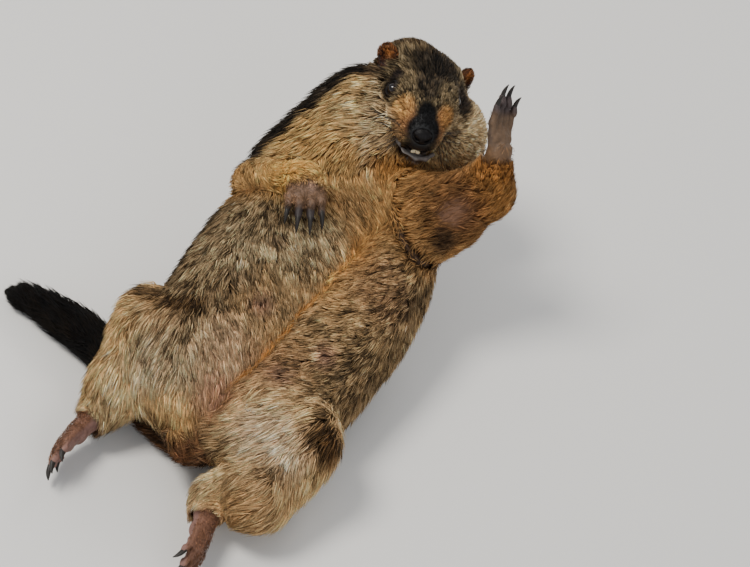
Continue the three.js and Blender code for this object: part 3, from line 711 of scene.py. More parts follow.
floor_mesh = bpy.data.meshes.new("floor")
g = 3.0
floor_mesh.from_pydata([(-g, -g, 0), (g, -g, 0), (g, g, 0), (-g, g, 0)], [], [(0, 1, 2, 3)])
floor = bpy.data.objects.new("floor", floor_mesh)
bpy.context.scene.collection.objects.link(floor)
fm, fnt, fb = material("pale_floor")
fb.inputs["Base Color"].default_value = (0.70, 0.68, 0.645, 1)
fb.inputs["Roughness"].default_value = 0.75
floor_mesh.materials.append(fm)

# ------------------------------------------------------------------ the skin: one closed mesh, finer at face, ears and paws
X = steps((-252, -118, 3.0), (-118, -52, 1.9), (-52, 106, 1.6), (106, 126, 2.4))
Y = steps((-164, -80, 1.6), (-80, 112, 2.6), (112, 170, 1.7), (170, 226, 2.2), (226, 352, 1.5))
Z = steps((-4, 44, 1.7), (44, 118, 2.4), (118, 252, 1.55))
A = sample_field(skin_field, X, Y, Z)
AX = (X, Y, Z)


def skin_at(P):
    """The skin's field read back from the grid."""
    idx = [np.clip(np.interp(P[:, k], AX[k], np.arange(len(AX[k]))), 0, len(AX[k]) - 1.001) for k in range(3)]
    i = [q.astype(int) for q in idx]
    f = [q - k for q, k in zip(idx, i)]
    v = 0.0
    for dx in (0, 1):
        for dy in (0, 1):
            for dz in (0, 1):
                v = v + A[i[0] + dx, i[1] + dy, i[2] + dz] * np.abs(1 - dx - f[0]) * np.abs(1 - dy - f[1]) * np.abs(1 - dz - f[2])
    return v


def gradient(f, P, h=1.5):
    return unit(np.stack([f(P + e) - f(P - e) for e in np.eye(3) * h], -1))


def face_zone(P, grow_=0.0):
    q = HEAD.local(P)
    m = (q[:, 0] > 16 - grow_) & (np.abs(q[:, 1]) < 20 + grow_) & (q[:, 2] > -36 - grow_)
    for word in EYES:
        m |= np.linalg.norm(P - EYES[word][0], axis=1) < 13 + grow_
        e = EARS[word].local(P)
        m |= (np.abs(e[:, 0]) < 8 + grow_) & (np.abs(e[:, 1]) < 13 + grow_) & (e[:, 2] > -10 - grow_) & (e[:, 2] < 19 + grow_)
    for n, c in paw_centres.items():
        if "fore" in n:
            m |= np.linalg.norm(P - c, axis=1) < 25 + grow_
    return m


def eye_zone(P):
    q = HEAD.local(P)
    m = (q[:, 0] > 30) & (np.abs(q[:, 1]) < 14) & (q[:, 2] > -32) & (q[:, 2] < 8)
    for word in EYES:
        m |= np.linalg.norm(P - EYES[word][0], axis=1) < 9.5
    return m


def refine(P, Q, extra, inside):
    """Splits the quads where inside() holds into four; their neighbours take the new corners as faces of more sides."""
    sel = inside(P[Q].mean(1))
    n = len(P)
    a, b = Q, np.roll(Q, -1, 1)
    code = np.minimum(a, b).astype(np.int64) * n + np.maximum(a, b)
    split = np.unique(code[sel])
    mids = (P[split // n] + P[split % n]) / 2
    pos = np.minimum(np.searchsorted(split, code), len(split) - 1)
    hit = split[pos] == code
    mid = n + pos
    S = Q[sel]
    centre = n + len(split) + np.arange(len(S))
    ms = mid[sel]
    new = np.concatenate([np.stack([S[:, k], ms[:, k], centre, ms[:, k - 1]], -1) for k in range(4)])
    part = ~sel & hit.any(1)
    for q, h, m in zip(Q[part], hit[part], mid[part]):
        f = []
        for k in range(4):
            f.append(int(q[k]))
            if h[k]:
                f.append(int(m[k]))
        extra.append(f)
    P2 = np.concatenate([P, mids, P[S].mean(1)])
    return P2, np.concatenate([Q[~sel & ~hit.any(1)], new]), extra


def settle(P, which, field, rounds=3, h=0.35):
    """Moves the chosen corners onto the surface of the field."""
    idx = np.nonzero(which)[0]
    p = P[idx]
    for _ in range(rounds):
        g = np.stack([field(p + e) - field(p - e) for e in np.eye(3) * h], -1) / (2 * h)
        l2 = np.maximum((g * g).sum(1), 0.2)
        step = (field(p) / l2)[:, None] * g
        ln = np.linalg.norm(step, axis=1, keepdims=True)
        p = p - step * np.minimum(1, 0.7 / np.maximum(ln, 1e-9))
    P = P.copy()
    P[idx] = p
    return P


def smooth_pass(P, Q, which, pull=0.4):
    acc, cnt = np.zeros_like(P), np.zeros(len(P))
    for a, b in ((0, 1), (1, 2), (2, 3), (3, 0)):
        np.add.at(acc, Q[:, a], P[Q[:, b]])
        np.add.at(acc, Q[:, b], P[Q[:, a]])
        np.add.at(cnt, Q[:, a], 1)
        np.add.at(cnt, Q[:, b], 1)
    R = P.copy()
    k = which & (cnt >= 6)
    R[k] = lerp(P[k], acc[k] / cnt[k, None], pull)
    return R


P, Q = surface_net(A, X, Y, Z)
P = relax(P, Q, skin_field, 2, 0.45)
base_P, base_Q = P, Q
more = []
P, Q, more = refine(P, Q, more, lambda p: face_zone(p, 3.0))
z = face_zone(P, 2.0)
P = settle(P, z, skin_field, 2)
P = settle(smooth_pass(P, Q, z), z, skin_field, 2)
P, Q, more = refine(P, Q, more, eye_zone)
z = eye_zone(P)
P = settle(P, z, skin_field, 2, 0.25)
P = settle(smooth_pass(P, Q, z), z, skin_field, 2, 0.25)
skin_P, skin_Q, skin_more = P, Q, more
base_N = vertex_normals(base_P, base_Q)


def mixed_object(name, P, quads, more):
    me = bpy.data.meshes.new(name)
    loops = np.concatenate([quads.ravel(), np.array([i for f in more for i in f], np.int64)])
    size = np.concatenate([np.full(len(quads), 4), np.array([len(f) for f in more], np.int64)])
    me.vertices.add(len(P))
    me.vertices.foreach_set("co", metres(P).astype(F32).ravel())
    me.loops.add(len(loops))
    me.loops.foreach_set("vertex_index", loops.astype(np.int32))
    me.polygons.add(len(size))
    me.polygons.foreach_set("loop_start", (np.cumsum(size) - size).astype(np.int32))
    me.polygons.foreach_set("use_smooth", np.ones(len(size), bool))
    me.update(calc_edges=True)
    me.validate()
    ob = bpy.data.objects.new(name, me)
    bpy.context.scene.collection.objects.link(ob)
    return ob


skin = mixed_object("skin", skin_P, skin_Q, skin_more)
print("skin", len(skin_P), len(skin_Q), len(skin_more))


# ------------------------------------------------------------------ the markings and painted shade, the same for skin and coat
def mid_u(st):
    """Where the midline of the belly runs, as a share of the half-width."""
    return np.interp(st, [0.06, 0.14, 0.18, 0.23, 0.31, 0.39, 0.48, 0.58, 0.69, 0.77, 0.83, 1], [-0.04, 0.02, 0.03, 0.01, 0.03, 0.06, 0.07, 0.10, 0.16, 0.25, 0.28, 0.3])


class Coat:
    """Colours at root, middle and tip, and the shares of dark-tipped and pale-tipped tufts."""

    def __init__(s, n, root, mid, tip, dark=0.15, pale=0.12):
        s.c = np.tile(np.stack([srgb(*root), srgb(*mid), srgb(*tip)]), (n, 1, 1))
        s.dark, s.pale = np.full(n, dark), np.full(n, pale)

    def over(s, m, root, mid, tip, dark=None, pale=None):
        new = np.stack([srgb(*root), srgb(*mid), srgb(*tip)])
        s.c += (new - s.c) * m[:, None, None]
        if dark is not None:
            s.dark += (dark - s.dark) * m
        if pale is not None:
            s.pale += (pale - s.pale) * m


def spot(P, c, r, soft=0.45):
    """1 inside the radius, fading out past it."""
    return 1 - ramp(np.linalg.norm(P - np.array(c, float), axis=1) / r, 1 - soft, 1 + soft)


def patch(q, c, r, soft=0.4):
    """As spot, with its own radii along each axis, in local coordinates."""
    return 1 - ramp(np.linalg.norm((q - np.array(c, float)) / np.array(r, float), axis=1), 1 - soft, 1 + soft)


def paw_share(P):
    """How far each point belongs to each bare paw."""
    out = {}
    for n, (fr, o, toes) in PAWS.items():
        m = np.zeros(len(P))
        k = np.linalg.norm(P - paw_centres[n], axis=1) < (50 if o is HIND else 40)
        if k.any():
            start = 7.0 if o is FORE else 6.0
            m[k] = (1 - ramp(paw_fields[n](P[k]), 0.9, 2.6)) * ramp(fr.local(P[k])[:, 0], start - 5, start + 7)
        out[n] = m
    return out


TEATS = [(-18, 52, 122), (54, 54, 95), (36, 12, 96), (80, -15, 85)]


def markings_and_shade(P, parts, w, tc):
    n = len(P)
    st, u, v, T, U, V = tc
    du = u - mid_u(st)
    wob = lump(P, 46, 1)
    wob2 = lump(P, 20, 2)
    C = Coat(n, (66, 50, 38), (144, 112, 76), (194, 160, 114), 0.24, 0.22)
    # belly: brown-tan, greyer to its right, warmer along the midline
    belly = ramp(v, 0.1, 0.6)
    C.over(belly * ramp(wob, -0.2, 0.9) * 0.5, (84, 58, 40), (152, 112, 68), (200, 158, 104), 0.16)
    C.over(belly * ramp(-du, 0.1, 0.4) * ramp(st, 0.42, 0.55), (56, 44, 33), (140, 112, 76), (214, 180, 128), 0.36, 0.30)
    C.over(belly * ramp(du, 0.12, 0.36), (56, 43, 33), (140, 110, 76), (200, 166, 118), 0.36, 0.18)
    C.over(ramp(du, 0.38, 0.62) * ramp(v, -0.25, 0.1) * np.clip(0.6 + 0.25 * wob2, 0, 1), (50, 40, 33), (112, 90, 64), (176, 148, 106), 0.42, 0.22)
    C.over(spot(P, (-12, 120, 139), 34) * 0.8, (46, 38, 31), (128, 104, 76), (214, 186, 142), 0.36, 0.36)
    C.over(spot(P, (60, 140, 108), 30) * 0.5, (74, 52, 50), (120, 86, 68), (168, 126, 86))
    C.over(spot(P, (76, 64, 84), 30) * 0.3, (50, 40, 34), (104, 82, 60), (164, 134, 94), 0.42)
    # lower belly, thinly haired
    C.over(spot(P, (6, -14, 105), 40) * 0.6, (146, 100, 80), (156, 112, 80), (188, 144, 98), 0.10)
    C.over(spot(P, (-34, -2, 110), 32) * 0.60, (158, 116, 98), (178, 144, 114), (214, 184, 144), 0.10, 0.25)
    C.over(spot(P, (10, -34, 96), 20) * 0.6, (138, 82, 62), (154, 98, 66), (182, 126, 80), 0.08)
    C.over(spot(P, (40, 20, 102), 26, 0.6) * 0.5, (60, 43, 35), (112, 80, 60), (164, 124, 88), 0.34, 0.1)
    for c in TEATS:
        C.over(spot(P, c, 10, 0.7) * 0.65, (106, 74, 66), (130, 95, 82), (152, 116, 96), 0.12, 0.0)
    # the orange line
    line = np.exp(-(du / (0.05 + 0.09 * ramp(st, 0.50, 0.72))) ** 2) * ramp(v, 0.4, 0.7) * ramp(st, 0.10, 0.2)
    C.over(line * 0.78, (112, 62, 26), (184, 108, 38), (216, 148, 66), 0.08, 0.1)
    glow = np.exp(-(du / 0.22) ** 2) * ramp(v, 0.4, 0.8) * ramp(st, 0.42, 0.55) * (1 - ramp(st, 0.85, 0.95))
    C.over(glow * 0.45, (98, 66, 40), (166, 118, 66), (208, 162, 98), 0.14, 0.16)
    # right flank: grizzled, blackening towards the back: dark back fur, painted darker still as shade where the body
    # turns under to the floor
    g = ramp(-du, 0.46, 0.72) * (1 - 0.15 * wob2)
    C.over(np.clip(g, 0, 1), (32, 25, 19), (98, 78, 56), (196, 166, 122), 0.44, 0.34)
    edge = 1 - ramp(np.abs(wob), 0, 2.5) * 0.3
    C.over(ramp(-u, 0.84, 0.96) * ramp(-v, -0.42, -0.12) * edge, (17, 16, 15), (26, 23, 21), (56, 49, 42), 0.55, 0.05)
    C.over(ramp(-v, -0.10, 0.22) * (1 - ramp(u, 0.5, 0.85) * ramp(-v, -0.5, 0.3) * 0.8), (20, 18, 16), (36, 31, 27), (84, 72, 58), 0.52, 0.14)
    C.over(ramp(-v, -0.05, 0.3) * ramp(u, 0.45, 0.8) * 0.7, (38, 32, 27), (88, 72, 54), (150, 128, 96), 0.46, 0.22)
    C.over(spot(P, (-60, 92, 134), 26, 0.6) * 0.7, (50, 40, 31), (132, 110, 82), (212, 184, 140), 0.38, 0.36)
    C.over(spot(P, (-44, 64, 131), 13) * 0.6, (36, 28, 24), (80, 63, 48), (150, 124, 90), 0.5)
    C.over(spot(P, (-54, 38, 124), 12) * 0.6, (34, 26, 22), (78, 60, 45), (150, 122, 86), 0.5)
    C.over(spot(P, (-37, 107, 140), 9) * 0.7, (40, 31, 30), (74, 57, 48), (124, 100, 74), 0.5)
    # chest: a darker brown wedge under the right paw, golden above
    chest = ramp(st, 0.66, 0.74)
    C.over(chest * ramp(v, 0.2, 0.6) * 0.75, (84, 57, 37), (158, 115, 69), (204, 162, 104), 0.24, 0.16)
    C.over(spot(P, (-14, 186, 153), 26) * 0.5, (58, 44, 37), (118, 88, 62), (176, 136, 92), 0.36)
    C.over(spot(P, (30, 196, 146), 22) * 0.6, (110, 72, 42), (178, 126, 70), (214, 164, 100), 0.12)
    # neck and throat: golden tan, grizzling then blackening towards the nape, where dark fur and painted shade meet
    # towards the floor
    nk = np.clip(w["neck"], 0, 1)
    C.over(nk, (112, 78, 44), (190, 144, 84), (232, 192, 128), 0.12, 0.22)
    throat = spot(P, (12, 226, 164), 40)
    C.over(throat * np.clip(nk + w["trunk"] * 0.8 + w["arm_r"] * 0.3, 0, 1) * 0.85, (110, 76, 46), (188, 140, 84), (226, 182, 120), 0.12, 0.16)
    C.over(nk * spot(P, (-50, 244, 188), 26, 0.6) * 0.4, (64, 52, 40), (140, 114, 78), (204, 176, 128), 0.26, 0.3)
    # forelegs: golden forearm, reddish under the elbow
    ar, al = w["arm_r"], w["arm_l"]
    C.over(ar, (108, 74, 40), (192, 144, 84), (234, 192, 126), 0.12, 0.22)
    C.over(ar * spot(P, SHOULDER_R + V3(-14, -8, 26), 30) * 0.6, (92, 72, 50), (176, 142, 96), (222, 190, 140), 0.16, 0.3)
    C.over(ar * spot(P, ELBOW_R + V3(6, -16, 2), 17), (62, 38, 22), (112, 74, 42), (160, 114, 70), 0.22, 0.1)
    C.over(ar * spot(P, ELBOW_R + V3(-14, 4, 6), 17) * 0.6, (70, 50, 31), (120, 88, 54), (172, 132, 86), 0.22, 0.15)
    C.over(ar * spot(P, lerp(ELBOW_R, WRIST_R, 0.6) + V3(0, 4, 10), 24) * 0.85, (124, 82, 38), (212, 150, 74), (246, 198, 116), 0.06, 0.22)
    C.over(ar * ramp(-P[:, 2], -104, -84), (30, 26, 23), (58, 48, 38), (112, 92, 68), 0.5, 0.1)
    # the black of the back comes round to the right shoulder and nape in a narrow edge: dark back fur with painted
    # shade where the body turns under to the floor
    rim_x = P @ V3(-0.279, 0.606, -0.537) - 64.9 + 9 * ramp(-P[:, 1], -205, -180) + 1.2 * wob2
    shoulder = np.clip(nk + ar * ramp(P[:, 1], 166, 190) + w["trunk"] * ramp(st, 0.72, 0.82), 0, 1) * (P[:, 0] < 20)
    C.over(shoulder * ramp(rim_x, -3, 2) * 0.5, (60, 48, 38), (124, 102, 74), (196, 170, 124), 0.3, 0.25)
    C.over(shoulder * ramp(rim_x, 1.5, 5.0), (15, 13, 11), (26, 22, 18), (70, 58, 44), 0.5, 0.12)
    C.over(al, (80, 54, 32), (134, 94, 54), (182, 136, 84), 0.26, 0.14)
    foreL = ramp((P - ELBOW_L) @ unit(WRIST_L - ELBOW_L), 6, 30)
    C.over(al * foreL, (76, 46, 24), (136, 88, 42), (176, 122, 66), 0.26, 0.1)
    C.over(al * spot(P, ELBOW_L + V3(4, -20, 6), 22) * 0.6, (92, 56, 26), (150, 100, 48), (190, 138, 76), 0.14, 0.1)
    C.over(al * spot(P, (80, 216, 150), 27, 0.8) * 0.9, (100, 66, 46), (110, 74, 48), (134, 94, 58), 0.2, 0.0)
    C.over(al * spot(P, (82, 214, 148), 12, 0.7) * 0.7, (122, 86, 64), (124, 88, 64), (134, 96, 66), 0.1, 0.0)
    C.over(spot(P, (78, 196, 124), 13) * 0.75, (34, 26, 22), (56, 42, 34), (104, 80, 56), 0.5, 0.0)
    # hind legs
    lr, ll = w["leg_r"], w["leg_l"]
    C.over(lr, (82, 62, 46), (195, 156, 108), (240, 205, 152), 0.24, 0.28)
    C.over(ll, (82, 62, 46), (194, 155, 108), (240, 204, 152), 0.24, 0.26)
    C.over(lr * spot(P, (-58, -22, 102), 34) * 0.6, (108, 90, 80), (182, 158, 132), (232, 210, 174), 0.22, 0.34)
    C.over(lr * ramp(-P[:, 0], 92, 108) * 0.7, (96, 64, 36), (196, 148, 92), (240, 198, 138), 0.22, 0.25)
    C.over(lr * spot(P, KNEE_R + V3(-14, 20, 22), 24) * 0.7, (78, 50, 30), (166, 126, 78), (218, 182, 128), 0.14, 0.25)
    band = np.min([cone((-106, 24, 95), (-84, 28, 101), 1, 1)(P), cone((-84, 28, 101), (-60, 30, 111), 1, 1)(P)], 0)
    C.over(spot(P, (-78, 12, 102), 17, 0.7) * 0.4, (60, 38, 26), (108, 74, 50), (160, 120, 80), 0.34, 0.1)
    C.over((1 - ramp(band, 3, 10)) * np.clip(lr + w["trunk"], 0, 1) * 0.88, (26, 18, 13), (50, 36, 25), (126, 94, 58), 0.55, 0.16)
    C.over(lr * ramp(-P[:, 2], -44, -20), (40, 32, 28), (86, 66, 50), (154, 126, 90), 0.4, 0.12)
    C.over(lr * spot(P, (-36, -58, 66), 30) * 0.9, (116, 80, 44), (200, 152, 92), (238, 196, 136), 0.10, 0.2)
    C.over(ll * spot(P, (56, -40, 88), 30) * 0.7, (134, 104, 88), (206, 174, 144), (240, 214, 176), 0.12, 0.26)
    C.over(ll * spot(P, (91, -8, 80), 18, 0.8) * 0.85, (26, 18, 12), (70, 46, 28), (150, 106, 58), 0.5, 0.12)
    C.over(ll * spot(P, (88, -6, 80), 12, 0.6) * 0.7, (20, 14, 10), (48, 32, 20), (110, 76, 42), 0.6, 0.08)
    C.over(ll * spot(P, (98, -40, 44), 30) * 0.55, (110, 74, 42), (196, 154, 98), (232, 194, 136), 0.14, 0.16)
    C.over(ll * spot(P, (60, -64, 58), 26) * 0.7, (78, 58, 42), (160, 124, 84), (208, 170, 120), 0.28, 0.2)
    C.over(ll * ramp(-P[:, 1], 62, 88) * ramp(P[:, 0], 20, 40) * 0.45, (104, 68, 40), (166, 118, 70), (208, 160, 104), 0.15)
    crotch = spot(P, (-12, -62, 52), 28)
    C.over(crotch * 0.95, (44, 26, 20), (82, 52, 36), (124, 84, 54), 0.34, 0.0)
    C.over(w["trunk"] * spot(P, (-38, -52, 68), 20) * 0.85, (116, 80, 44), (198, 150, 90), (236, 194, 134), 0.08, 0.2)
    C.over(spot(P, (-7, -31, 97), 20) * 0.6, (152, 104, 92), (164, 118, 100), (196, 150, 112), 0.12, 0.1)
    C.over(spot(P, (-56, -52, 58), 10) * 0.8, (34, 26, 20), (56, 44, 32), (110, 86, 58), 0.5, 0.1)
    # tail
    C.over(w["tail"], (6, 4, 2), (9, 6, 3), (18, 12, 6), 0.3, 0.04)
    C.over(w["tail"] * ramp(P[:, 0], -76, -36), (40, 28, 21), (72, 50, 34), (120, 84, 54), 0.3, 0.05)
    # head
    q = HEAD.local(P)
    f, l, h = q[:, 0], q[:, 1], q[:, 2]
    al_ = np.abs(l)
    hd = np.clip(w["head"] * (1 - 0.5 * ramp(-l, 40, 54)) + w["neck"] * ramp(f, -34, -18) * (1 - ramp(-l, 34, 50)), 0, 1) * (np.linalg.norm(P - HEAD.o, axis=1) < 90)
    H = Coat(n, (34, 28, 22), (70, 57, 40), (146, 126, 92), 0.38, 0.34)
    H.over(ramp(-f, 24.5, 30.5) * ramp(h, 4, 18) * 0.92, (18, 15, 13), (30, 25, 20), (84, 70, 50), 0.5, 0.12)
    H.over(patch(q, (-9, 7, 28), (19, 21, 15)), (17, 14, 12), (27, 22, 17), (74, 62, 46), 0.5, 0.14)
    H.over(patch(q, (14, 0, 23), (14, 10, 10)), (24, 20, 17), (42, 35, 28), (92, 78, 58), 0.46, 0.16)
    H.over(ramp(al_, 24, 34) * ramp(-h, -12, 2), (84, 66, 48), (176, 144, 102), (230, 200, 152), 0.24, 0.34)
    H.over(ramp(-h, 18, 34) * ramp(f, -30, -14) * 0.8, (98, 70, 42), (176, 134, 82), (218, 178, 120), 0.10, 0.2)
    H.over(ramp(-h, 26, 40) * ramp(f, -30, 0), (110, 68, 36), (166, 112, 56), (202, 150, 86), 0.1, 0.1)
    H.over(patch(q, (28, -26, -12), (18, 16, 16)), (98, 76, 52), (186, 150, 106), (228, 198, 152), 0.22, 0.3)
    C.over(w["neck"] * spot(P, HEAD.at(20, -46, -8), 24, 0.6) * 0.7, (92, 70, 46), (186, 150, 100), (232, 198, 146), 0.28, 0.3)
    H.over(ramp(-l, 26, 44) * ramp(-h, -16, -4) * (1 - ramp(-f, 10, 30)) * 0.7, (92, 72, 54), (172, 144, 106), (226, 200, 160), 0.2, 0.3)
    H.over(patch(q, (26, 24, -14), (16, 14, 16)), (92, 70, 48), (164, 130, 86), (214, 180, 130), 0.2, 0.2)
    H.over(spot(P, HEAD.at(24, 44, -22), 30, 0.6) * 0.9, (108, 82, 58), (212, 174, 124), (246, 220, 174), 0.18, 0.26)
    H.over(patch(q, (22, 30, -6), (9, 9, 8)) * 0.45, (44, 36, 30), (84, 70, 50), (140, 120, 88), 0.45, 0.2)
    H.over(patch(q, (36, -13, 0), (13, 6, 15)) * 0.9, (104, 66, 40), (158, 110, 70), (196, 148, 100), 0.08, 0.1)
    H.over(patch(q, (36, 13, 0), (13, 6, 15)) * 0.9, (98, 62, 36), (150, 102, 62), (188, 138, 90), 0.08, 0.1)
    H.over(patch(q, (30, -17, 9), (11, 7.5, 8.5)), (136, 88, 44), (190, 138, 80), (222, 176, 114), 0.03, 0.12)
    H.over(patch(q, (31, 17.5, 8), (11, 6.5, 8)), (120, 76, 38), (170, 120, 66), (204, 156, 98), 0.03, 0.12)
    H.over(patch(q, (4, -27, 25), (8, 7, 7)) * 0.95, (20, 15, 15), (34, 26, 25), (60, 47, 42), 0.6, 0.0)
    H.over(patch(q, (6, 34, 10), (15, 10, 15)) * 0.95, (24, 19, 17), (38, 30, 25), (72, 56, 42), 0.5, 0.05)
    H.over(patch(q, (-24, 34, 20), (12, 8, 10)) * 0.6, (40, 33, 27), (92, 78, 56), (176, 154, 116), 0.3, 0.4)
    H.over(patch(q, (-10, -40, 16), (12, 9, 10)) * 0.8, (34, 24, 20), (66, 46, 34), (110, 80, 54), 0.4, 0.1)
    black = patch(q, (39, 0.5, 11), (14, 8.0, 9), 0.25)
    black = np.maximum(black, patch(q, (46, 0, 1), (13, 13.5, 14), 0.16))
    black = np.maximum(black, patch(q, (48, 0, -12), (8, 11.5, 9), 0.2))
    H.over(black, (6, 4, 4), (8, 6, 6), (14, 11, 11), 0.0, 0.0)
    C.c += (H.c - C.c) * hd[:, None, None]
    C.dark += (H.dark - C.dark) * hd
    C.pale += (H.pale - C.pale) * hd
    # the same black edge round the right of neck and head: dark fur with painted shade towards the floor
    C.over(np.clip(nk + w["head"], 0, 1) * ramp(-l, 34, 44) * ramp(rim_x, 0.5, 4.0), (15, 13, 11), (26, 22, 18), (70, 58, 44), 0.5, 0.12)
    lipd = np.min([cone(HEAD.at(*a_), HEAD.at(*b_), 1.9, 1.9)(P) for a_, b_ in zip(LIP, LIP[1:])], 0)
    # the inside of the open mouth, painted near-black as the shade in the opening
    C.over(patch(q, (40, 2, -24.5), (13, 17, 6.5), 0.25), (26, 17, 17), (30, 20, 20), (36, 26, 25), 0, 0)
    C.over((1 - ramp(lipd, 1.4, 2.9)) * (f > 20), (92, 87, 84), (104, 98, 94), (120, 112, 106), 0.0, 0.0)
    C.over(patch(q, (45, 0.5, -20.5), (8, 10, 2.0), 0.3) * 0.8, (120, 114, 110), (128, 122, 118), (136, 130, 124), 0, 0)
    C.over((1 - ramp(np.abs(lipd - 4.5), 1.0, 2.6)) * ramp(-h, 33, 36) * (f > 20) * 0.8, (36, 30, 28), (48, 40, 36), (76, 64, 54), 0.2, 0.0)
    for word, (c, ax) in EYES.items():
        C.over(spot(P, c + ax * 1.5, 8.4, 0.18), (18, 14, 13), (26, 20, 18), (40, 31, 27), 0.0, 0.0)
        e = EARS[word].local(P)
        on_ear = (np.abs(e[:, 0]) < 7) * (np.abs(e[:, 1]) < 12.5) * ramp(e[:, 2], -8, -4) * (e[:, 2] < 19)
        C.over(on_ear, (40, 24, 17), (74, 42, 26), (112, 70, 42), 0.25, 0.05)
        C.over(on_ear * spot(P, EARS[word].at(2, 3 if word == "right" else 0, 8), 6.0, 0.5) * 0.75, (104, 60, 30), (152, 92, 46), (180, 120, 68), 0.1, 0.05)
        C.over(on_ear * ramp(e[:, 0], 0.5, 2.5) * ramp(-e[:, 2], -6, 4), (40, 24, 20), (62, 38, 30), (92, 58, 42), 0.1, 0)
        C.over(on_ear * ramp(-e[:, 0], 0.5, 2.5), (34, 26, 22), (62, 46, 36), (110, 82, 56), 0.3, 0.1)
    # paws: thinly haired mauve-brown skin
    C.over(al * ramp((P - WRIST_L) @ PAW_L.F, -12, -4), (90, 66, 46), (104, 78, 54), (124, 92, 62), 0.15, 0.0)
    for nme, m in paw_share(P).items():
        fr = PAWS[nme][0]
        e = fr.local(P)
        under = ramp(-e[:, 2], 1.0, 4.0)
        if nme == "forepaw_right":
            C.over(m, (104, 78, 60), (120, 91, 68), (134, 104, 76), 0.2, 0.0)
            C.over(m * ramp(e[:, 0], 27, 37), (38, 31, 30), (44, 36, 34), (50, 42, 38), 0.1, 0.0)
            C.over(m * patch(e, (14, 4, 6), (6, 4, 5)) * 0.3, (196, 160, 140), (200, 166, 146), (200, 168, 146), 0, 0)
        elif nme == "forepaw_left":
            C.over(m, (60, 46, 38), (74, 58, 46), (92, 74, 58), 0.2, 0.05)
            C.over(m * under, (92, 70, 50), (92, 70, 50), (92, 70, 50), 0, 0)
            C.over(m * ramp(e[:, 0], 30, 40), (54, 44, 42), (60, 48, 46), (64, 52, 48), 0.1, 0.0)
        else:
            C.over(m, (112, 76, 60), (126, 88, 66), (142, 102, 76), 0.12, 0.0)
            C.over(m * under, (120, 88, 78), (120, 88, 78), (120, 88, 78), 0, 0)
    return C


def bareness(P, w):
    """Where hardly any hair grows: soles, toes, nose, lips, lids, the armpit."""
    q = HEAD.local(P)
    b = patch(q, (48.5, 0, -3), (8.5, 10.5, 10), 0.25)
    lipd = np.min([cone(HEAD.at(*a_), HEAD.at(*b_), 1.9, 1.9)(P) for a_, b_ in zip(LIP, LIP[1:])], 0)
    b = np.maximum(b, (1 - ramp(lipd, 1.0, 2.6)) * (q[:, 0] > 20))
    b = np.maximum(b, patch(q, (40, 2, -24), (13, 17, 6.5), 0.25))
    b = np.maximum(b, patch(q, (49, 0, -11), (7, 9.5, 7), 0.25))
    for word, (c, ax) in EYES.items():
        b = np.maximum(b, spot(P, c + ax * 2.2, 7.8, 0.10))
        e = EARS[word].local(P)
        b = np.maximum(b, (patch(e, (4.5, 0, 3), (3.6, 6.5, 9), 0.3)) * 0.7)
    for n, m in paw_share(P).items():
        fr, o, _ = PAWS[n]
        e = fr.local(P)
        k = 0.55 * m * ramp(e[:, 0], 8, 20)
        k = np.maximum(k, m * ramp(-e[:, 2], 0.5, 3.0))
        k = np.maximum(k, m * ramp(e[:, 0], o["knuckles"] + 10, o["knuckles"] + 18))
        b = np.maximum(b, k)
    for c in TEATS:
        b = np.maximum(b, spot(P, c, 6, 0.5) * 0.85)
    b = np.maximum(b, w["arm_l"] * ramp((P - WRIST_L) @ PAW_L.F, -13, -3) * 0.96)
    b = np.maximum(b, spot(P, (78, 214, 146), 25, 0.85) * np.clip(w["arm_l"] + 0.3 * w["trunk"], 0, 1) * 0.97)
    return np.clip(b, 0, 1)


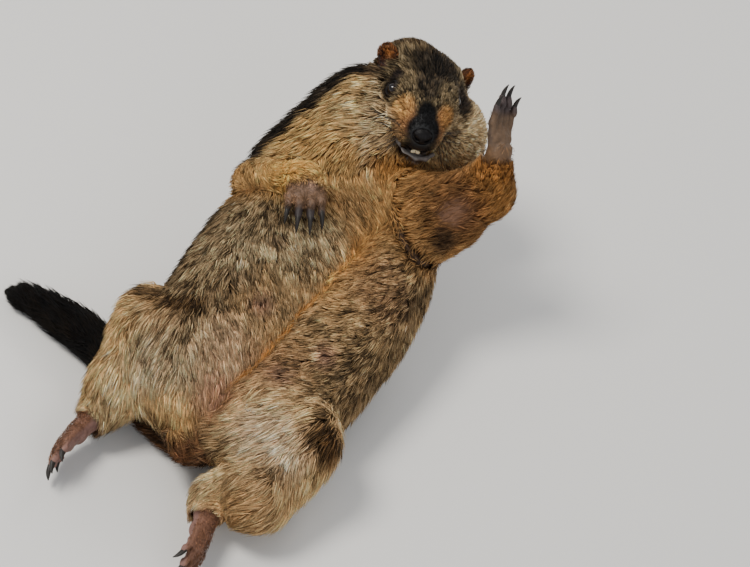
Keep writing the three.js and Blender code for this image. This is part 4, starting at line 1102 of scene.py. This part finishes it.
# ------------------------------------------------------------------ the lie and length of the coat
def lie_of_coat(P, parts, w, tc):
    st, u, v, T, U, V = tc
    du = u - mid_u(st)
    inward = -np.tanh(du / 0.10) * ramp(v, 0.15, 0.6) * (1 - 0.55 * ramp(np.abs(du), 0.45, 0.8)) * 0.95
    outward = np.sign(u) * ramp(np.abs(u), 0.45, 0.75) * ramp(-v, -0.8, -0.2) * 0.45
    D = (-T + U * (inward + outward)[:, None]) * w["trunk"][:, None]
    D += unit(V3(-12, 236, 120) - HEAD.o)[None] * w["neck"][:, None]
    D += unit(P - HEAD.at(54, 0, -4)) * w["head"][:, None]

    def limb(a, b, c, fa, fb, wt, extra=None):
        k = 1 / (1 + np.exp(-(fa(P) - fb(P)) / 5))
        d = unit(b - a)[None] * (1 - k)[:, None] + unit(c - b)[None] * k[:, None]
        if extra is not None:
            d = d + extra * (1 - k)[:, None]
        return d * wt[:, None]

    D += limb(SHOULDER_R, ELBOW_R, WRIST_R, cone(SHOULDER_R, ELBOW_R, 34, 21), cone(ELBOW_R, WRIST_R, 20, 14.5), w["arm_r"])
    D += limb(SHOULDER_L, ELBOW_L, WRIST_L, cone(SHOULDER_L, ELBOW_L, 36, 22), cone(ELBOW_L, WRIST_L, 25, 13.5), w["arm_l"])
    sp = V3(0.30, -0.85, -0.45)
    D += limb(HIP_R, HIP_R + sp, HOCK_R - KNEE_R + HIP_R + sp, _thighR, _shankR, w["leg_r"])
    sp = V3(-0.62, -0.66, -0.36)
    D += limb(HIP_L, HIP_L + sp, HOCK_L - KNEE_L + HIP_L + sp, _thighL, _shankL, w["leg_l"])
    # golden fringe and dark tuft under the left knee hang away from it
    D += V3(0.55, -0.75, -0.5)[None] * (w["leg_l"] * spot(P, (98, -34, 52), 34))[:, None] * 2.0
    D += V3(-0.75, 0.2, -0.25)[None] * (w["leg_r"] * spot(P, KNEE_R + V3(-14, 16, 18), 24))[:, None] * 2.0
    _, _, _, Tt, _, _ = tail.coords(P)
    D += Tt * w["tail"][:, None]
    D -= (HEAD.L * 2.4 + HEAD.U * 0.2)[None] * (spot(P, HEAD.at(22, -42, -8), 24, 0.6) * np.clip(w["neck"] + w["head"], 0, 1))[:, None]
    for n, m in paw_share(P).items():
        D += (PAWS[n][0].F * 3.0)[None] * m[:, None]
    for word in EARS:
        fr = EARS[word]
        e = fr.local(P)
        on = (np.abs(e[:, 0]) < 7) * (np.abs(e[:, 1]) < 12.5) * (e[:, 2] > -6) * (e[:, 2] < 19)
        D += (fr.U * 3.0)[None] * on[:, None]
    return D


def hair(P, parts, w, tc):
    """Length and width of the tufts, in millimetres."""
    st, u, v, *_ = tc
    q = HEAD.local(P)
    f, l, h = q[:, 0], np.abs(q[:, 1]), q[:, 2]
    back = ramp(-v, -0.4, 0.5)
    L = w["trunk"] * (15.5 + 5.0 * back + 1.0 * ramp(st, 0.7, 0.85)) + w["neck"] * 17 + w["arm_r"] * 13 + w["arm_l"] * 11 + w["leg_r"] * 19 + w["leg_l"] * 17.5 + w["tail"] * (25 - 13 * ramp(-P[:, 0], 196, 232))
    Lh = 8.5 + 4.0 * ramp(l, 24, 42) * ramp(-h, -10, 14)
    Lh = lerp(Lh, 4.2, ramp(f, 8, 26))
    Lh = lerp(Lh, 2.8, ramp(f, 32, 42))
    L = L + w["head"] * Lh
    W = w["trunk"] * (0.95 + 0.3 * back) + w["neck"] * 1.0 + w["arm_r"] * 0.85 + w["arm_l"] * 0.8 + w["leg_r"] * 1.05 + w["leg_l"] * 1.05 + w["tail"] * 1.5
    Wh = lerp(0.82, 0.5, ramp(f, 10, 30))
    W = W + w["head"] * Wh
    W = W * 0.76
    for j, k, cut in ((WRIST_R, 24, 0.55), (WRIST_L, 24, 0.66), (HOCK_R, 26, 0.30), (HOCK_L, 26, 0.30)):
        g = near(P, j, k)
        L *= 1 - cut * g
        W *= 1 - 0.25 * g
    for word, (c, ax) in EYES.items():
        g = near(P, c, 13)
        L, W = lerp(L, 2.6, g), lerp(W, 0.42, g)
        e = EARS[word].local(P)
        on = ((np.abs(e[:, 0]) < 7) & (np.abs(e[:, 1]) < 12.5) & (e[:, 2] > -6) & (e[:, 2] < 19)).astype(float)
        L, W = lerp(L, 3.4, on), lerp(W, 0.5, on)
    for n, m in paw_share(P).items():
        L, W = lerp(L, 3.2, m), lerp(W, 0.5, m)
    return L, W


from mathutils.kdtree import KDTree

face_c = base_P[base_Q].mean(1)
fd1, fd2 = base_P[base_Q[:, 2]] - base_P[base_Q[:, 0]], base_P[base_Q[:, 3]] - base_P[base_Q[:, 1]]
face_a = 0.5 * np.linalg.norm(np.cross(fd1, fd2), axis=1)


def everything(P):
    v, parts = body_parts(P)
    w = weights(parts, 5.0)
    return parts, w, trunk.coords(P)


def piece_of(P, w, tc):
    """Which coat piece each place belongs to."""
    st, u, v, *_ = tc
    names = list(w)
    k = np.argmax(np.stack([w[n] for n in names]), 0)
    lab = np.array(["coat_" + {"trunk": "trunk", "neck": "neck", "head": "head", "arm_r": "forelegs", "arm_l": "forelegs", "leg_r": "hindleg_right", "leg_l": "hindleg_left", "tail": "tail"}[n] for n in names], dtype=object)[k]
    tr = lab == "coat_trunk"
    lab[tr & (v <= 0.12)] = "coat_back"
    lab[tr & (v > 0.12) & (st >= 0.5)] = "coat_chest"
    lab[tr & (v > 0.12) & (st < 0.5)] = "coat_belly"
    for n, m in paw_share(P).items():
        lab[m > 0.5] = {"forepaw_right": "coat_forelegs", "forepaw_left": "coat_forelegs", "hindfoot_right": "coat_hindleg_right", "hindfoot_left": "coat_hindleg_left"}[n]
    return lab


BUDGET = {"coat_head": 33000, "coat_neck": 19000, "coat_chest": 31000, "coat_belly": 31000, "coat_back": 33000, "coat_forelegs": 28000, "coat_hindleg_right": 26000, "coat_hindleg_left": 26000, "coat_tail": 19000}


def per_chunk(P, n=60000):
    """Field shares at many places, a slice at a time."""
    outs = [everything(P[i : i + n]) for i in range(0, len(P), n)]
    parts = {k: np.concatenate([o[0][k] for o in outs]) for k in outs[0][0]}
    w = {k: np.concatenate([o[1][k] for o in outs]) for k in outs[0][1]}
    tc = tuple(np.concatenate([o[2][j] for o in outs]) for j in range(6))
    return parts, w, tc


fparts, fw, ftc = per_chunk(face_c)
face_lab = piece_of(face_c, fw, ftc)
face_bare = bareness(face_c, fw)
face_hidden = face_c[:, 2] < 3.6  # pressed flat on the floor
paw_all = sum(paw_share(face_c).values())
hq = HEAD.local(face_c)
density = (1 - face_bare) * np.where(face_hidden, 0.12, 1.0)
density *= np.where(face_lab == "coat_head", lerp(1.0, 1.9, ramp(hq[:, 0], -5, 20)), 1.0)
density *= lerp(1.0, 0.7, np.clip(paw_all, 0, 1)) * (1 + 1.8 * spot(face_c, (69, 36, 81), 15))
eye_ear = sum(near(face_c, EYES[s_][0], 16) + near(face_c, EARS[s_].at(0, 0, 4), 16) for s_ in EYES)
density *= lerp(1.0, 2.0, np.clip(eye_ear, 0, 1) * (face_lab == "coat_head"))


def lay_tufts(name, budget):
    sel = np.nonzero((face_lab == name) & (density > 0.02))[0]
    cum = np.cumsum(face_a[sel] * density[sel])
    n = budget
    pick = sel[np.minimum(np.searchsorted(cum, (np.arange(n) + rng.random(n)) / n * cum[-1]), len(sel) - 1)]
    a, b = rng.random(n), rng.random(n)
    q = base_Q[pick]
    wts = np.stack([(1 - a) * (1 - b), a * (1 - b), a * b, (1 - a) * b], -1)
    R = np.einsum("nk,nkj->nj", wts, base_P[q])
    N = unit(np.einsum("nk,nkj->nj", wts, base_N[q]))
    R = R - N * skin_at(R)[:, None]
    parts, w, tc = per_chunk(R)
    depth, _ = coat_depth(R, parts)
    L, W = hair(R, parts, w, tc)
    D = lie_of_coat(R, parts, w, tc)
    D = unit(D - N * np.einsum("ij,ij->i", D, N)[:, None])
    S = np.cross(D, N)
    bend = 0.16 * lump(R, 34, 5) + 0.08 * lump(R, 13, 6) + rng.normal(0, 0.09, n)
    D = unit(D * np.cos(bend)[:, None] + S * np.sin(bend)[:, None])
    L = L * rng.uniform(0.72, 1.22, n)
    W = W * rng.uniform(0.75, 1.25, n)
    bare_depth = np.minimum(depth, 0.6 * L + 0.3)
    top = rng.beta(2.6, 1.5, n) * 0.62 + 0.42
    top += (rng.random(n) < 0.10) * (0.32 - 0.3 * np.clip(w["head"], 0, 1))
    lift = bare_depth * top
    # locks: neighbouring tufts lean together at their tips
    cell = 3.2 + 0.16 * L
    step = max(1, int(n / max(200, (face_a[sel] * density[sel]).sum() / np.mean(cell) ** 2)))
    g = rng.choice(n, max(50, n // max(step, 5)), replace=False)
    tree = KDTree(len(g))
    for i, k in enumerate(g):
        tree.insert(R[k], i)
    tree.balance()
    owner = np.array([tree.find(p)[1] for p in R])
    lock = g[owner]
    tip0 = R + D * L[:, None]
    lock_tip = R[lock] + D[lock] * (L[lock] * 1.05)[:, None]
    reach = np.linalg.norm(lock_tip - tip0, axis=1)
    pull = (0.50 * rng.uniform(0.5, 1.2, n)) * (reach < 2.2 * L)
    tip = lerp(tip0, lock_tip, np.clip(pull, 0, 0.85)[:, None])
    d2 = tip - R
    d2 -= N * np.einsum("ij,ij->i", d2, N)[:, None]
    mid = R + lerp(D * L[:, None], d2, 0.35) * 0.46
    # hold middle and tip at their heights over the skin
    for P_, hgt, rounds in ((mid, lift * 0.72, 2), (tip, lift, 2)):
        for _ in range(rounds):
            G = gradient(skin_at, P_)
            P_ += G * np.clip(hgt - skin_at(P_), -6, 6)[:, None]
    mid[:, 2] = np.maximum(mid[:, 2], 0.9 + 0.4 * rng.random(n))
    tip[:, 2] = np.maximum(tip[:, 2], 0.35 + 0.5 * rng.random(n))
    root = R - N * 0.5
    ax = unit(tip - root)
    Gm = gradient(skin_at, mid)
    side = unit(np.cross(ax, Gm))
    up = np.cross(side, ax)
    roll = rng.normal(0, 0.5, n)
    s2 = side * np.cos(roll)[:, None] + up * np.sin(roll)[:, None]
    u2 = np.cross(s2, ax)
    hw = W[:, None] * 0.5
    V = np.stack([root, mid + s2 * hw - u2 * hw * 0.35, mid + u2 * hw * 0.75, mid - s2 * hw - u2 * hw * 0.35, tip], 1)
    # colour: markings, lock and tuft variation, dark and pale tips, and roots darkened as painted shade
    C = markings_and_shade(R, parts, w, tc)
    c = C.c.copy()
    r1 = rng.random(n) * 0.55 + rng.random(n)[owner % n] * 0.45
    dark = (r1 < C.dark)[:, None]
    pale = (r1 > 1 - C.pale)[:, None]
    c[:, 2] = np.where(dark, c[:, 2] * 0.16, c[:, 2])
    c[:, 1] = np.where(dark, c[:, 1] * 0.42, c[:, 1])
    # the roots are darkened to 0.58 as painted shade deep in the coat, over the underfur's own dark colour
    c[:, 0] *= 0.58
    c[:, 2] = np.where(pale, np.minimum(c[:, 2] * 1.45 + 0.03, 0.92), c[:, 2])
    c[:, 1] = np.where(pale, c[:, 1] * 1.2, c[:, 1])
    lockv = rng.normal(0, 0.25, len(g))[owner]
    k = np.exp(lockv + rng.normal(0, 0.25, n) + 0.04)
    c *= k[:, None, None]
    warm = 1 + rng.normal(0, 0.035, n)
    c[:, :, 0] *= warm[:, None]
    c[:, :, 2] /= warm[:, None]
    vc = np.stack([c[:, 0], lerp(c[:, 1], c[:, 0], 0.12), lerp(c[:, 1], c[:, 2], 0.25), lerp(c[:, 1], c[:, 0], 0.12), c[:, 2]], 1)
    tri = np.array([[0, 2, 1], [0, 3, 2], [0, 1, 3], [4, 1, 2], [4, 2, 3], [4, 3, 1]])
    a_, b_, c_ = V[0, tri[0, 0]], V[0, tri[0, 1]], V[0, tri[0, 2]]
    if np.cross(b_ - a_, c_ - a_) @ ((a_ + b_ + c_) / 3 - V[0].mean(0)) < 0:
        tri = tri[:, ::-1]
    F = (np.arange(n)[:, None, None] * 5 + tri[None]).reshape(-1, 3)
    ob = new_object(name, V.reshape(-1, 3), F)
    paint(ob, "coat", np.clip(vc.reshape(-1, 3), 0.002, 1))
    # each tuft is a small patch at its root's place on an unwrap of the skin
    st, u, v, *_ = tc
    if name == "coat_tail":
        s1, u1, v1, *_ = tail.coords(R)
        long_, round_ = s1, np.arctan2(u1, v1)
    elif name == "coat_head":
        e = HEAD.local(R)
        round_, long_ = np.arctan2(e[:, 1], e[:, 2] + 6), np.arctan2(e[:, 0], np.hypot(e[:, 1], e[:, 2] + 6))
    elif name == "coat_forelegs":
        right = (w["arm_r"] + paw_share(R)["forepaw_right"]) > (w["arm_l"] + paw_share(R)["forepaw_left"])
        long_, round_ = np.zeros(n), np.zeros(n)
        for m, (o1, e1, w1), off in ((right, (SHOULDER_R, ELBOW_R, WRIST_R), 0.0), (~right, (SHOULDER_L, ELBOW_L, WRIST_L), 10.0)):
            k_ = ((R[m] - e1) @ unit(w1 - e1) > (R[m] - e1) @ unit(o1 - e1))[:, None]
            d_ = np.where(k_, unit(w1 - e1), unit(e1 - o1))
            rel = R[m] - e1
            along = np.einsum("ij,ij->i", rel, d_)
            side_ = unit(np.cross(d_, V3(0.2, 0.3, 0.93)))
            up_ = np.cross(d_, side_)
            long_[m] = along
            round_[m] = np.arctan2(np.einsum("ij,ij->i", rel, side_), np.einsum("ij,ij->i", rel, up_)) + off
    elif name.startswith("coat_hindleg"):
        hp, kn = (HIP_R, HOCK_R) if name.endswith("right") else (HIP_L, HOCK_L)
        d_ = unit(kn - hp)
        side_ = unit(np.cross(d_, V3(1, 0.2, 0.1)))
        up_ = np.cross(d_, side_)
        rel = R - (hp + kn) / 2 - V3(20 if name.endswith("left") else -20, 0, 0)
        long_, round_ = rel @ d_, np.arctan2(rel @ side_, rel @ up_)
    else:
        long_, round_ = st, np.arctan2(u, v)
    cols = int(math.ceil(math.sqrt(n)))
    order = np.argsort(round_, kind="stable")
    col = np.empty(n, int)
    col[order] = np.arange(n) // cols
    row = np.empty(n, int)
    order = np.lexsort((long_, col))
    sc = col[order]
    start = np.searchsorted(sc, np.arange(cols + 1))
    row[order] = np.arange(n) - start[sc]
    cu, cv = (col + 0.5) / cols, (row + 0.5) / cols
    px = np.array([-1, 0, 0, 0, 1]) * 0.0015
    fan = np.array([-1, -1 / 3, 1 / 3, 1]) * 0.0015
    corner = {0: 0, 1: 0, 2: 1, 3: 2}
    uv = np.zeros((n, 6, 3, 2))
    for t in range(6):
        vs = tri[t]
        wrap = set(vs) >= {1, 3}
        for j, vi in enumerate(vs):
            y = 0.0 if vi in (0, 4) else (fan[3] if (wrap and vi == 1) else fan[corner[int(vi)]])
            uv[:, t, j, 0] = cu + px[vi]
            uv[:, t, j, 1] = cv + y
    lay = ob.data.uv_layers.new(name="OFBake")
    lay.data.foreach_set("uv", uv.astype(F32).ravel())
    ob.data.materials.append(coat_material)
    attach(ob, "root")
    print(name, n, "tufts")
    return ob


# ------------------------------------------------------------------ materials of skin and coat
def tinted(nt, colour, scale, amount, detail=2.0):
    """The colour, made lighter and darker by a fine noise."""
    tc_ = node(nt, "ShaderNodeTexCoord")
    nz = noise(nt, scale, detail, 0.55, tc_.outputs["Object"])
    mr = node(nt, "ShaderNodeMapRange")
    mr.inputs["From Min"].default_value, mr.inputs["From Max"].default_value = 0.25, 0.75
    mr.inputs["To Min"].default_value, mr.inputs["To Max"].default_value = 1 - amount, 1 + amount
    nt.links.new(nz.outputs["Fac"], mr.inputs["Value"])
    mul = node(nt, "ShaderNodeVectorMath", operation="SCALE")
    nt.links.new(colour, mul.inputs[0])
    nt.links.new(mr.outputs["Result"], mul.inputs["Scale"])
    return mul.outputs["Vector"], tc_


coat_material, nt, bs = material("coat")
at_ = node(nt, "ShaderNodeAttribute", attribute_name="coat")
col, tc_ = tinted(nt, at_.outputs["Color"], 260.0, 0.16)
nt.links.new(col, bs.inputs["Base Color"])
bs.inputs["Roughness"].default_value = 0.62
bs.inputs["Specular IOR Level"].default_value = 0.12
rz = noise(nt, 900.0, 1.0, 0.5, tc_.outputs["Object"])
rr = node(nt, "ShaderNodeMapRange")
rr.inputs["To Min"].default_value, rr.inputs["To Max"].default_value = 0.5, 0.75
nt.links.new(rz.outputs["Fac"], rr.inputs["Value"])
nt.links.new(rr.outputs["Result"], bs.inputs["Roughness"])

skin_material, nt, bs = material("skin")
at_ = node(nt, "ShaderNodeAttribute", attribute_name="coat")
col, tc_ = tinted(nt, at_.outputs["Color"], 420.0, 0.22, 4.0)
nt.links.new(col, bs.inputs["Base Color"])
bs.inputs["Roughness"].default_value = 0.58
bs.inputs["Specular IOR Level"].default_value = 0.35
nz = noise(nt, 900.0, 4.0, 0.6, tc_.outputs["Object"])
vz = node(nt, "ShaderNodeTexVoronoi")
vz.inputs["Scale"].default_value = 520.0
nt.links.new(tc_.outputs["Object"], vz.inputs["Vector"])
mx = node(nt, "ShaderNodeMath", operation="MULTIPLY_ADD")
mx.inputs[1].default_value = 0.6
nt.links.new(vz.outputs["Distance"], mx.inputs[0])
nt.links.new(nz.outputs["Fac"], mx.inputs[2])
bump(nt, bs, mx.outputs["Value"], 0.55, 0.0006)
skin.data.materials.append(skin_material)

sparts, sw, stc = per_chunk(skin_P)
SC = markings_and_shade(skin_P, sparts, sw, stc)
sb = bareness(skin_P, sw)
# the skin between the tufts takes the root colour darkened to 0.85 as painted shade under the coat; bare skin takes the
# middle colour
under = lerp(SC.c[:, 0] * 0.85, SC.c[:, 1], np.clip(sb, 0, 1)[:, None])
paint(skin, "coat", np.clip(under, 0.003, 1))
FLESH = ["trunk", "neck", "head", "tail", "ear_right", "ear_left"] + [a + "_" + b for a in ("foreleg", "forepaw", "hindleg", "hindfoot") for b in ("right", "left")]
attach(skin, "root")
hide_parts(*FLESH)

# ------------------------------------------------------------------ eyes, nose, teeth, claws, whiskers
def rings_object(name, rings, closed=True):
    """The sides of a tube through rings of equal size, open at both ends."""
    k = len(rings[0])
    V = np.concatenate(rings)
    F = []
    for i in range(len(rings) - 1):
        for j in range(k):
            F.append((i * k + j, i * k + (j + 1) % k, (i + 1) * k + (j + 1) % k, (i + 1) * k + j))
    return V, F, k


def from_faces(name, V, F, mat):
    me = bpy.data.meshes.new(name)
    me.from_pydata([tuple(p) for p in metres(V)], [], F)
    for p in me.polygons:
        p.use_smooth = True
    me.update()
    import bmesh

    bm = bmesh.new()
    bm.from_mesh(me)
    bmesh.ops.recalc_face_normals(bm, faces=bm.faces)
    bm.to_mesh(me)
    bm.free()
    ob = bpy.data.objects.new(name, me)
    bpy.context.scene.collection.objects.link(ob)
    me.materials.append(mat)
    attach(ob, "root")
    return ob


def tube_mesh(rings, cap_tip=True):
    V, F, k = rings_object("", rings)
    n = len(V)
    V = np.concatenate([V, rings[0].mean(0)[None], rings[-1].mean(0)[None]])
    for j in range(k):
        F.append(((j + 1) % k, j, n))
        F.append(((len(rings) - 1) * k + j, (len(rings) - 1) * k + (j + 1) % k, n + 1))
    return V, F


def ring(c, x, y, rx, ry, k=12):
    a = (np.arange(k) + 0.5) / k * 2 * math.pi
    return c + np.cos(a)[:, None] * x * rx + np.sin(a)[:, None] * y * ry


# eyes: wet, nearly black, with a faint brown ring
eye_mat, nt, bs = material("eye")
tcn = node(nt, "ShaderNodeTexCoord")
gm = node(nt, "ShaderNodeAttribute", attribute_name="iris")
nzz = noise(nt, 900.0, 3.0, 0.6, tcn.outputs["Object"])
cr = node(nt, "ShaderNodeValToRGB")
cr.color_ramp.elements[0].position, cr.color_ramp.elements[0].color = 0.0, (0.004, 0.003, 0.003, 1)
cr.color_ramp.elements[1].position, cr.color_ramp.elements[1].color = 1.0, (0.010, 0.007, 0.006, 1)
for pos_, c_ in ((0.42, (0.004, 0.003, 0.003, 1)), (0.52, (0.011, 0.006, 0.004, 1)), (0.78, (0.009, 0.005, 0.004, 1))):
    el = cr.color_ramp.elements.new(pos_)
    el.color = c_
ad = node(nt, "ShaderNodeMath", operation="MULTIPLY_ADD")
ad.inputs[1].default_value, ad.inputs[2].default_value = 0.06, -0.03
nt.links.new(nzz.outputs["Fac"], ad.inputs[0])
ad2 = node(nt, "ShaderNodeMath", operation="ADD")
nt.links.new(gm.outputs["Fac"], ad2.inputs[0])
nt.links.new(ad.outputs["Value"], ad2.inputs[1])
nt.links.new(ad2.outputs["Value"], cr.inputs["Fac"])
nt.links.new(cr.outputs["Color"], bs.inputs["Base Color"])
bs.inputs["Roughness"].default_value = 0.06
bs.inputs["IOR"].default_value = 1.4
bs.inputs["Coat Weight"].default_value = 0.4
bs.inputs["Coat Roughness"].default_value = 0.02
for word, (c, ax) in EYES.items():
    x = unit(np.cross(ax, V3(0.1, 0.2, 1)))
    y = np.cross(ax, x)
    rows, cols = 28, 40
    rr_, ir = [], []
    for i in range(rows + 1):
        th = math.pi * (0.001 + 0.998 * i / rows)
        # the cornea stands a little proud of the ball
        r_ = EYE_R + 0.45 * math.exp(-((th / 0.62) ** 2)) - 0.15
        rr_.append(ring(c + ax * r_ * math.cos(th), x, y, r_ * math.sin(th), r_ * math.sin(th), cols))
        ir += [min(1.0, th / 1.0)] * cols
    V, F = tube_mesh(rr_)
    ob = from_faces("eyeball_" + word, V, F, eye_mat)
    at2 = ob.data.attributes.new("iris", "FLOAT", "POINT")
    at2.data.foreach_set("value", np.array(ir + [0.0, 1.0], F32))
    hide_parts("eye_" + word)

# nose: a black leathery pad with two comma-shaped nostrils and a groove between them
def nose_field(P):
    v = nose_pad(P)
    v = smax(v, -cone(HEAD.at(56.5, 0, 3), HEAD.at(54.5, 0, -12), 0.45, 0.7)(P), 0.9)
    for s_ in (-1, 1):
        hole = smin(egg(HEAD, [53.8, 4.0 * s_, -4.6], [4.0, 1.9, 1.6], 12)(P), cone(HEAD.at(53.0, 5.0 * s_, -3.6), HEAD.at(49.8, 8.8 * s_, -1.6), 0.9, 0.55)(P), 1.0)
        v = smax(v, -hole, 0.7)
        v = smin(v, cone(HEAD.at(53.6, 2.2 * s_, -1.6), HEAD.at(51.6, 6.6 * s_, 0.4), 1.5, 1.2)(P), 1.6)
    return v


o_ = HEAD.at(47.5, 0, -3.5)
gx = [np.arange(o_[k] - 13, o_[k] + 13, 0.55) for k in range(3)]
G = np.stack(np.meshgrid(*gx, indexing="ij"), -1).reshape(-1, 3)
NA = nose_field(G).reshape([len(q) for q in gx])
NP_, NQ = surface_net(NA, *gx)
NP_ = relax(NP_, NQ, nose_field, 1, 0.4)
nose_ob = new_object("nose_leather", NP_, NQ)
nose_mat, nt, bs = material("nose")
tcn = node(nt, "ShaderNodeTexCoord")
vz = node(nt, "ShaderNodeTexVoronoi")
vz.inputs["Scale"].default_value = 950.0
nt.links.new(tcn.outputs["Object"], vz.inputs["Vector"])
cr = node(nt, "ShaderNodeValToRGB")
cr.color_ramp.elements[0].color, cr.color_ramp.elements[1].color = (0.003, 0.0025, 0.0025, 1), (0.009, 0.007, 0.007, 1)
nt.links.new(vz.outputs["Distance"], cr.inputs["Fac"])
nt.links.new(cr.outputs["Color"], bs.inputs["Base Color"])
bs.inputs["Roughness"].default_value = 0.45
bs.inputs["Specular IOR Level"].default_value = 0.14
mr = node(nt, "ShaderNodeMapRange")
mr.inputs["To Min"].default_value, mr.inputs["To Max"].default_value = 0.32, 0.62
nzz = noise(nt, 300.0, 3.0, 0.6, tcn.outputs["Object"])
nt.links.new(nzz.outputs["Fac"], mr.inputs["Value"])
nt.links.new(mr.outputs["Result"], bs.inputs["Roughness"])
bump(nt, bs, vz.outputs["Distance"], 0.5, 0.0004)
nose_ob.data.materials.append(nose_mat)
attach(nose_ob, "root")
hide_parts("nose")

# incisors: cream enamel, curved, worn to a rounded chisel
tooth_mat, nt, bs = material("incisor")
tcn = node(nt, "ShaderNodeTexCoord")
nzz = noise(nt, 260.0, 4.0, 0.55, tcn.outputs["Object"], (1, 1, 0.3))
cr = node(nt, "ShaderNodeValToRGB")
cr.color_ramp.elements[0].color, cr.color_ramp.elements[1].color = (0.55, 0.42, 0.22, 1), (0.80, 0.70, 0.48, 1)
cr.color_ramp.elements[0].position, cr.color_ramp.elements[1].position = 0.3, 0.65
nt.links.new(nzz.outputs["Fac"], cr.inputs["Fac"])
nt.links.new(cr.outputs["Color"], bs.inputs["Base Color"])
bs.inputs["Roughness"].default_value = 0.28
bs.inputs["Subsurface Weight"].default_value = 0.1
bs.inputs["Subsurface Radius"].default_value = (0.002, 0.001, 0.0006)
bump(nt, bs, nzz.outputs["Fac"], 0.15, 0.0003)
for s_, word in ((-1, "right"), (1, "left")):
    rr_ = []
    for t in np.linspace(0, 1, 9):
        cc = HEAD.at(45.0 + 1.5 * math.sin(t * 2.2), s_ * (2.1 + 0.08 * t) + 0.2, -14.5 - 9.2 * t)
        k_ = 1.0 if t < 0.86 else 1 - 0.45 * ((t - 0.86) / 0.14) ** 2
        rr_.append(ring(cc, HEAD.L, HEAD.F, 2.08 * (0.94 + 0.06 * math.cos(t)) * (k_ ** 0.4), 1.45 * k_ * (1 - 0.45 * t), 14))
    V, F = tube_mesh(rr_)
    ob = from_faces("upper_incisor_" + word, V, F, tooth_mat)
    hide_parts("incisor_" + word)

# claws: dark horn with a fine grain
claw_mat, nt, bs = material("claw")
tcn = node(nt, "ShaderNodeTexCoord")
nzz = noise(nt, 500.0, 4.0, 0.6, tcn.outputs["Object"])
cr = node(nt, "ShaderNodeValToRGB")
cr.color_ramp.elements[0].color, cr.color_ramp.elements[1].color = (0.008, 0.007, 0.006, 1), (0.030, 0.024, 0.020, 1)
nt.links.new(nzz.outputs["Fac"], cr.inputs["Fac"])
nt.links.new(cr.outputs["Color"], bs.inputs["Base Color"])
bs.inputs["Roughness"].default_value = 0.46
bs.inputs["Specular IOR Level"].default_value = 0.28
bump(nt, bs, nzz.outputs["Fac"], 0.3, 0.0003)
for pn, (fr, o, toes) in PAWS.items():
    for i, t in enumerate(toes):
        p0, p1, p2, r = toe_chain(fr, o, t)
        d1 = unit(p2 - p1)
        xx = unit(np.cross(fr.U, d1))
        up_ = np.cross(d1, xx)
        ln, rad = o["claw"] * t[4], 2.3 * (0.85 if t[4] < 0.87 else 1) * (1.25 if pn == "forepaw_right" else 1)
        rr_ = []
        for q_ in np.linspace(-0.15, 0.97, 12):
            a_ = math.atan(0.75 * max(q_, 0))
            yy = up_ * math.cos(a_) + d1 * math.sin(a_)
            k_ = 1 - 0.9 * max(q_, 0) ** 1.9
            cc = p2 + d1 * ln * q_ - up_ * 0.36 * ln * max(q_, 0) ** 2
            rr_.append(ring(cc, xx, yy, rad * 0.80 * k_, rad * 1.08 * k_, 12))
        V, F = tube_mesh(rr_)
        ob = from_faces("horn_%s_%d" % (pn, i + 1), V, F, claw_mat)
        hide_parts("claw_%s_%d" % (pn, i + 1))

# whiskers
wh_mat, nt, bs = material("whisker")
tcn = node(nt, "ShaderNodeTexCoord")
nzz = noise(nt, 120.0, 2.0, 0.5, tcn.outputs["Object"])
cr = node(nt, "ShaderNodeValToRGB")
cr.color_ramp.elements[0].color, cr.color_ramp.elements[1].color = (0.010, 0.008, 0.007, 1), (0.035, 0.026, 0.020, 1)
nt.links.new(nzz.outputs["Fac"], cr.inputs["Fac"])
nt.links.new(cr.outputs["Color"], bs.inputs["Base Color"])
bs.inputs["Roughness"].default_value = 0.4
VV, FF = [], []
for s_ in (-1, 1):
    for row in range(4):
        for j in range(4):
            st_ = HEAD.at(41 - 3.2 * j + rng.normal(0, 0.4), s_ * (11.5 + 1.3 * j), -4.5 - 3.6 * row + rng.normal(0, 0.4))
            ln = 26 + 4.5 * j + rng.normal(0, 3)
            back = unit(HEAD.F * (-0.62 - 0.06 * j) + HEAD.L * s_ * (0.80 + 0.05 * row) - HEAD.U * (0.02 + 0.22 * row) + rng.normal(0, 0.05, 3))
            droop = -HEAD.F * 0.5 - HEAD.L * s_ * 0.28 - HEAD.U * 0.22
            ln *= 1.25
            pts, d_ = [st_], back
            for q_ in range(1, 13):
                d_ = unit(d_ + droop * 0.10)
                nx = pts[-1] + d_ * ln / 12
                sd = body_parts(nx[None])[0][0]
                if sd < 1.2:
                    gr = gradient(lambda q: body_parts(q)[0], nx[None], 1.0)[0]
                    nx = nx + gr * (1.2 - sd) * min(1, q_ / 3)
                    d_ = unit(lerp(d_, unit(nx - pts[-1]), 0.6))
                pts.append(nx)
            pts = np.array(pts)
            rr_ = []
            for q_, p_ in enumerate(pts):
                d_ = unit(pts[min(q_ + 1, 12)] - pts[max(q_ - 1, 0)])
                x_ = unit(np.cross(d_, V3(0.3, 0.2, 0.9)))
                rr_.append(ring(p_, x_, np.cross(d_, x_), 0.30 * (1 - 0.8 * q_ / 12), 0.30 * (1 - 0.8 * q_ / 12), 4))
            V, F = tube_mesh(rr_)
            base_ = sum(len(v_) for v_ in VV)
            VV.append(V)
            FF += [tuple(k_ + base_ for k_ in f_) for f_ in F]
ob = from_faces("whiskers", np.concatenate(VV), FF, wh_mat)

for name_, budget_ in BUDGET.items():
    lay_tufts(name_, budget_)
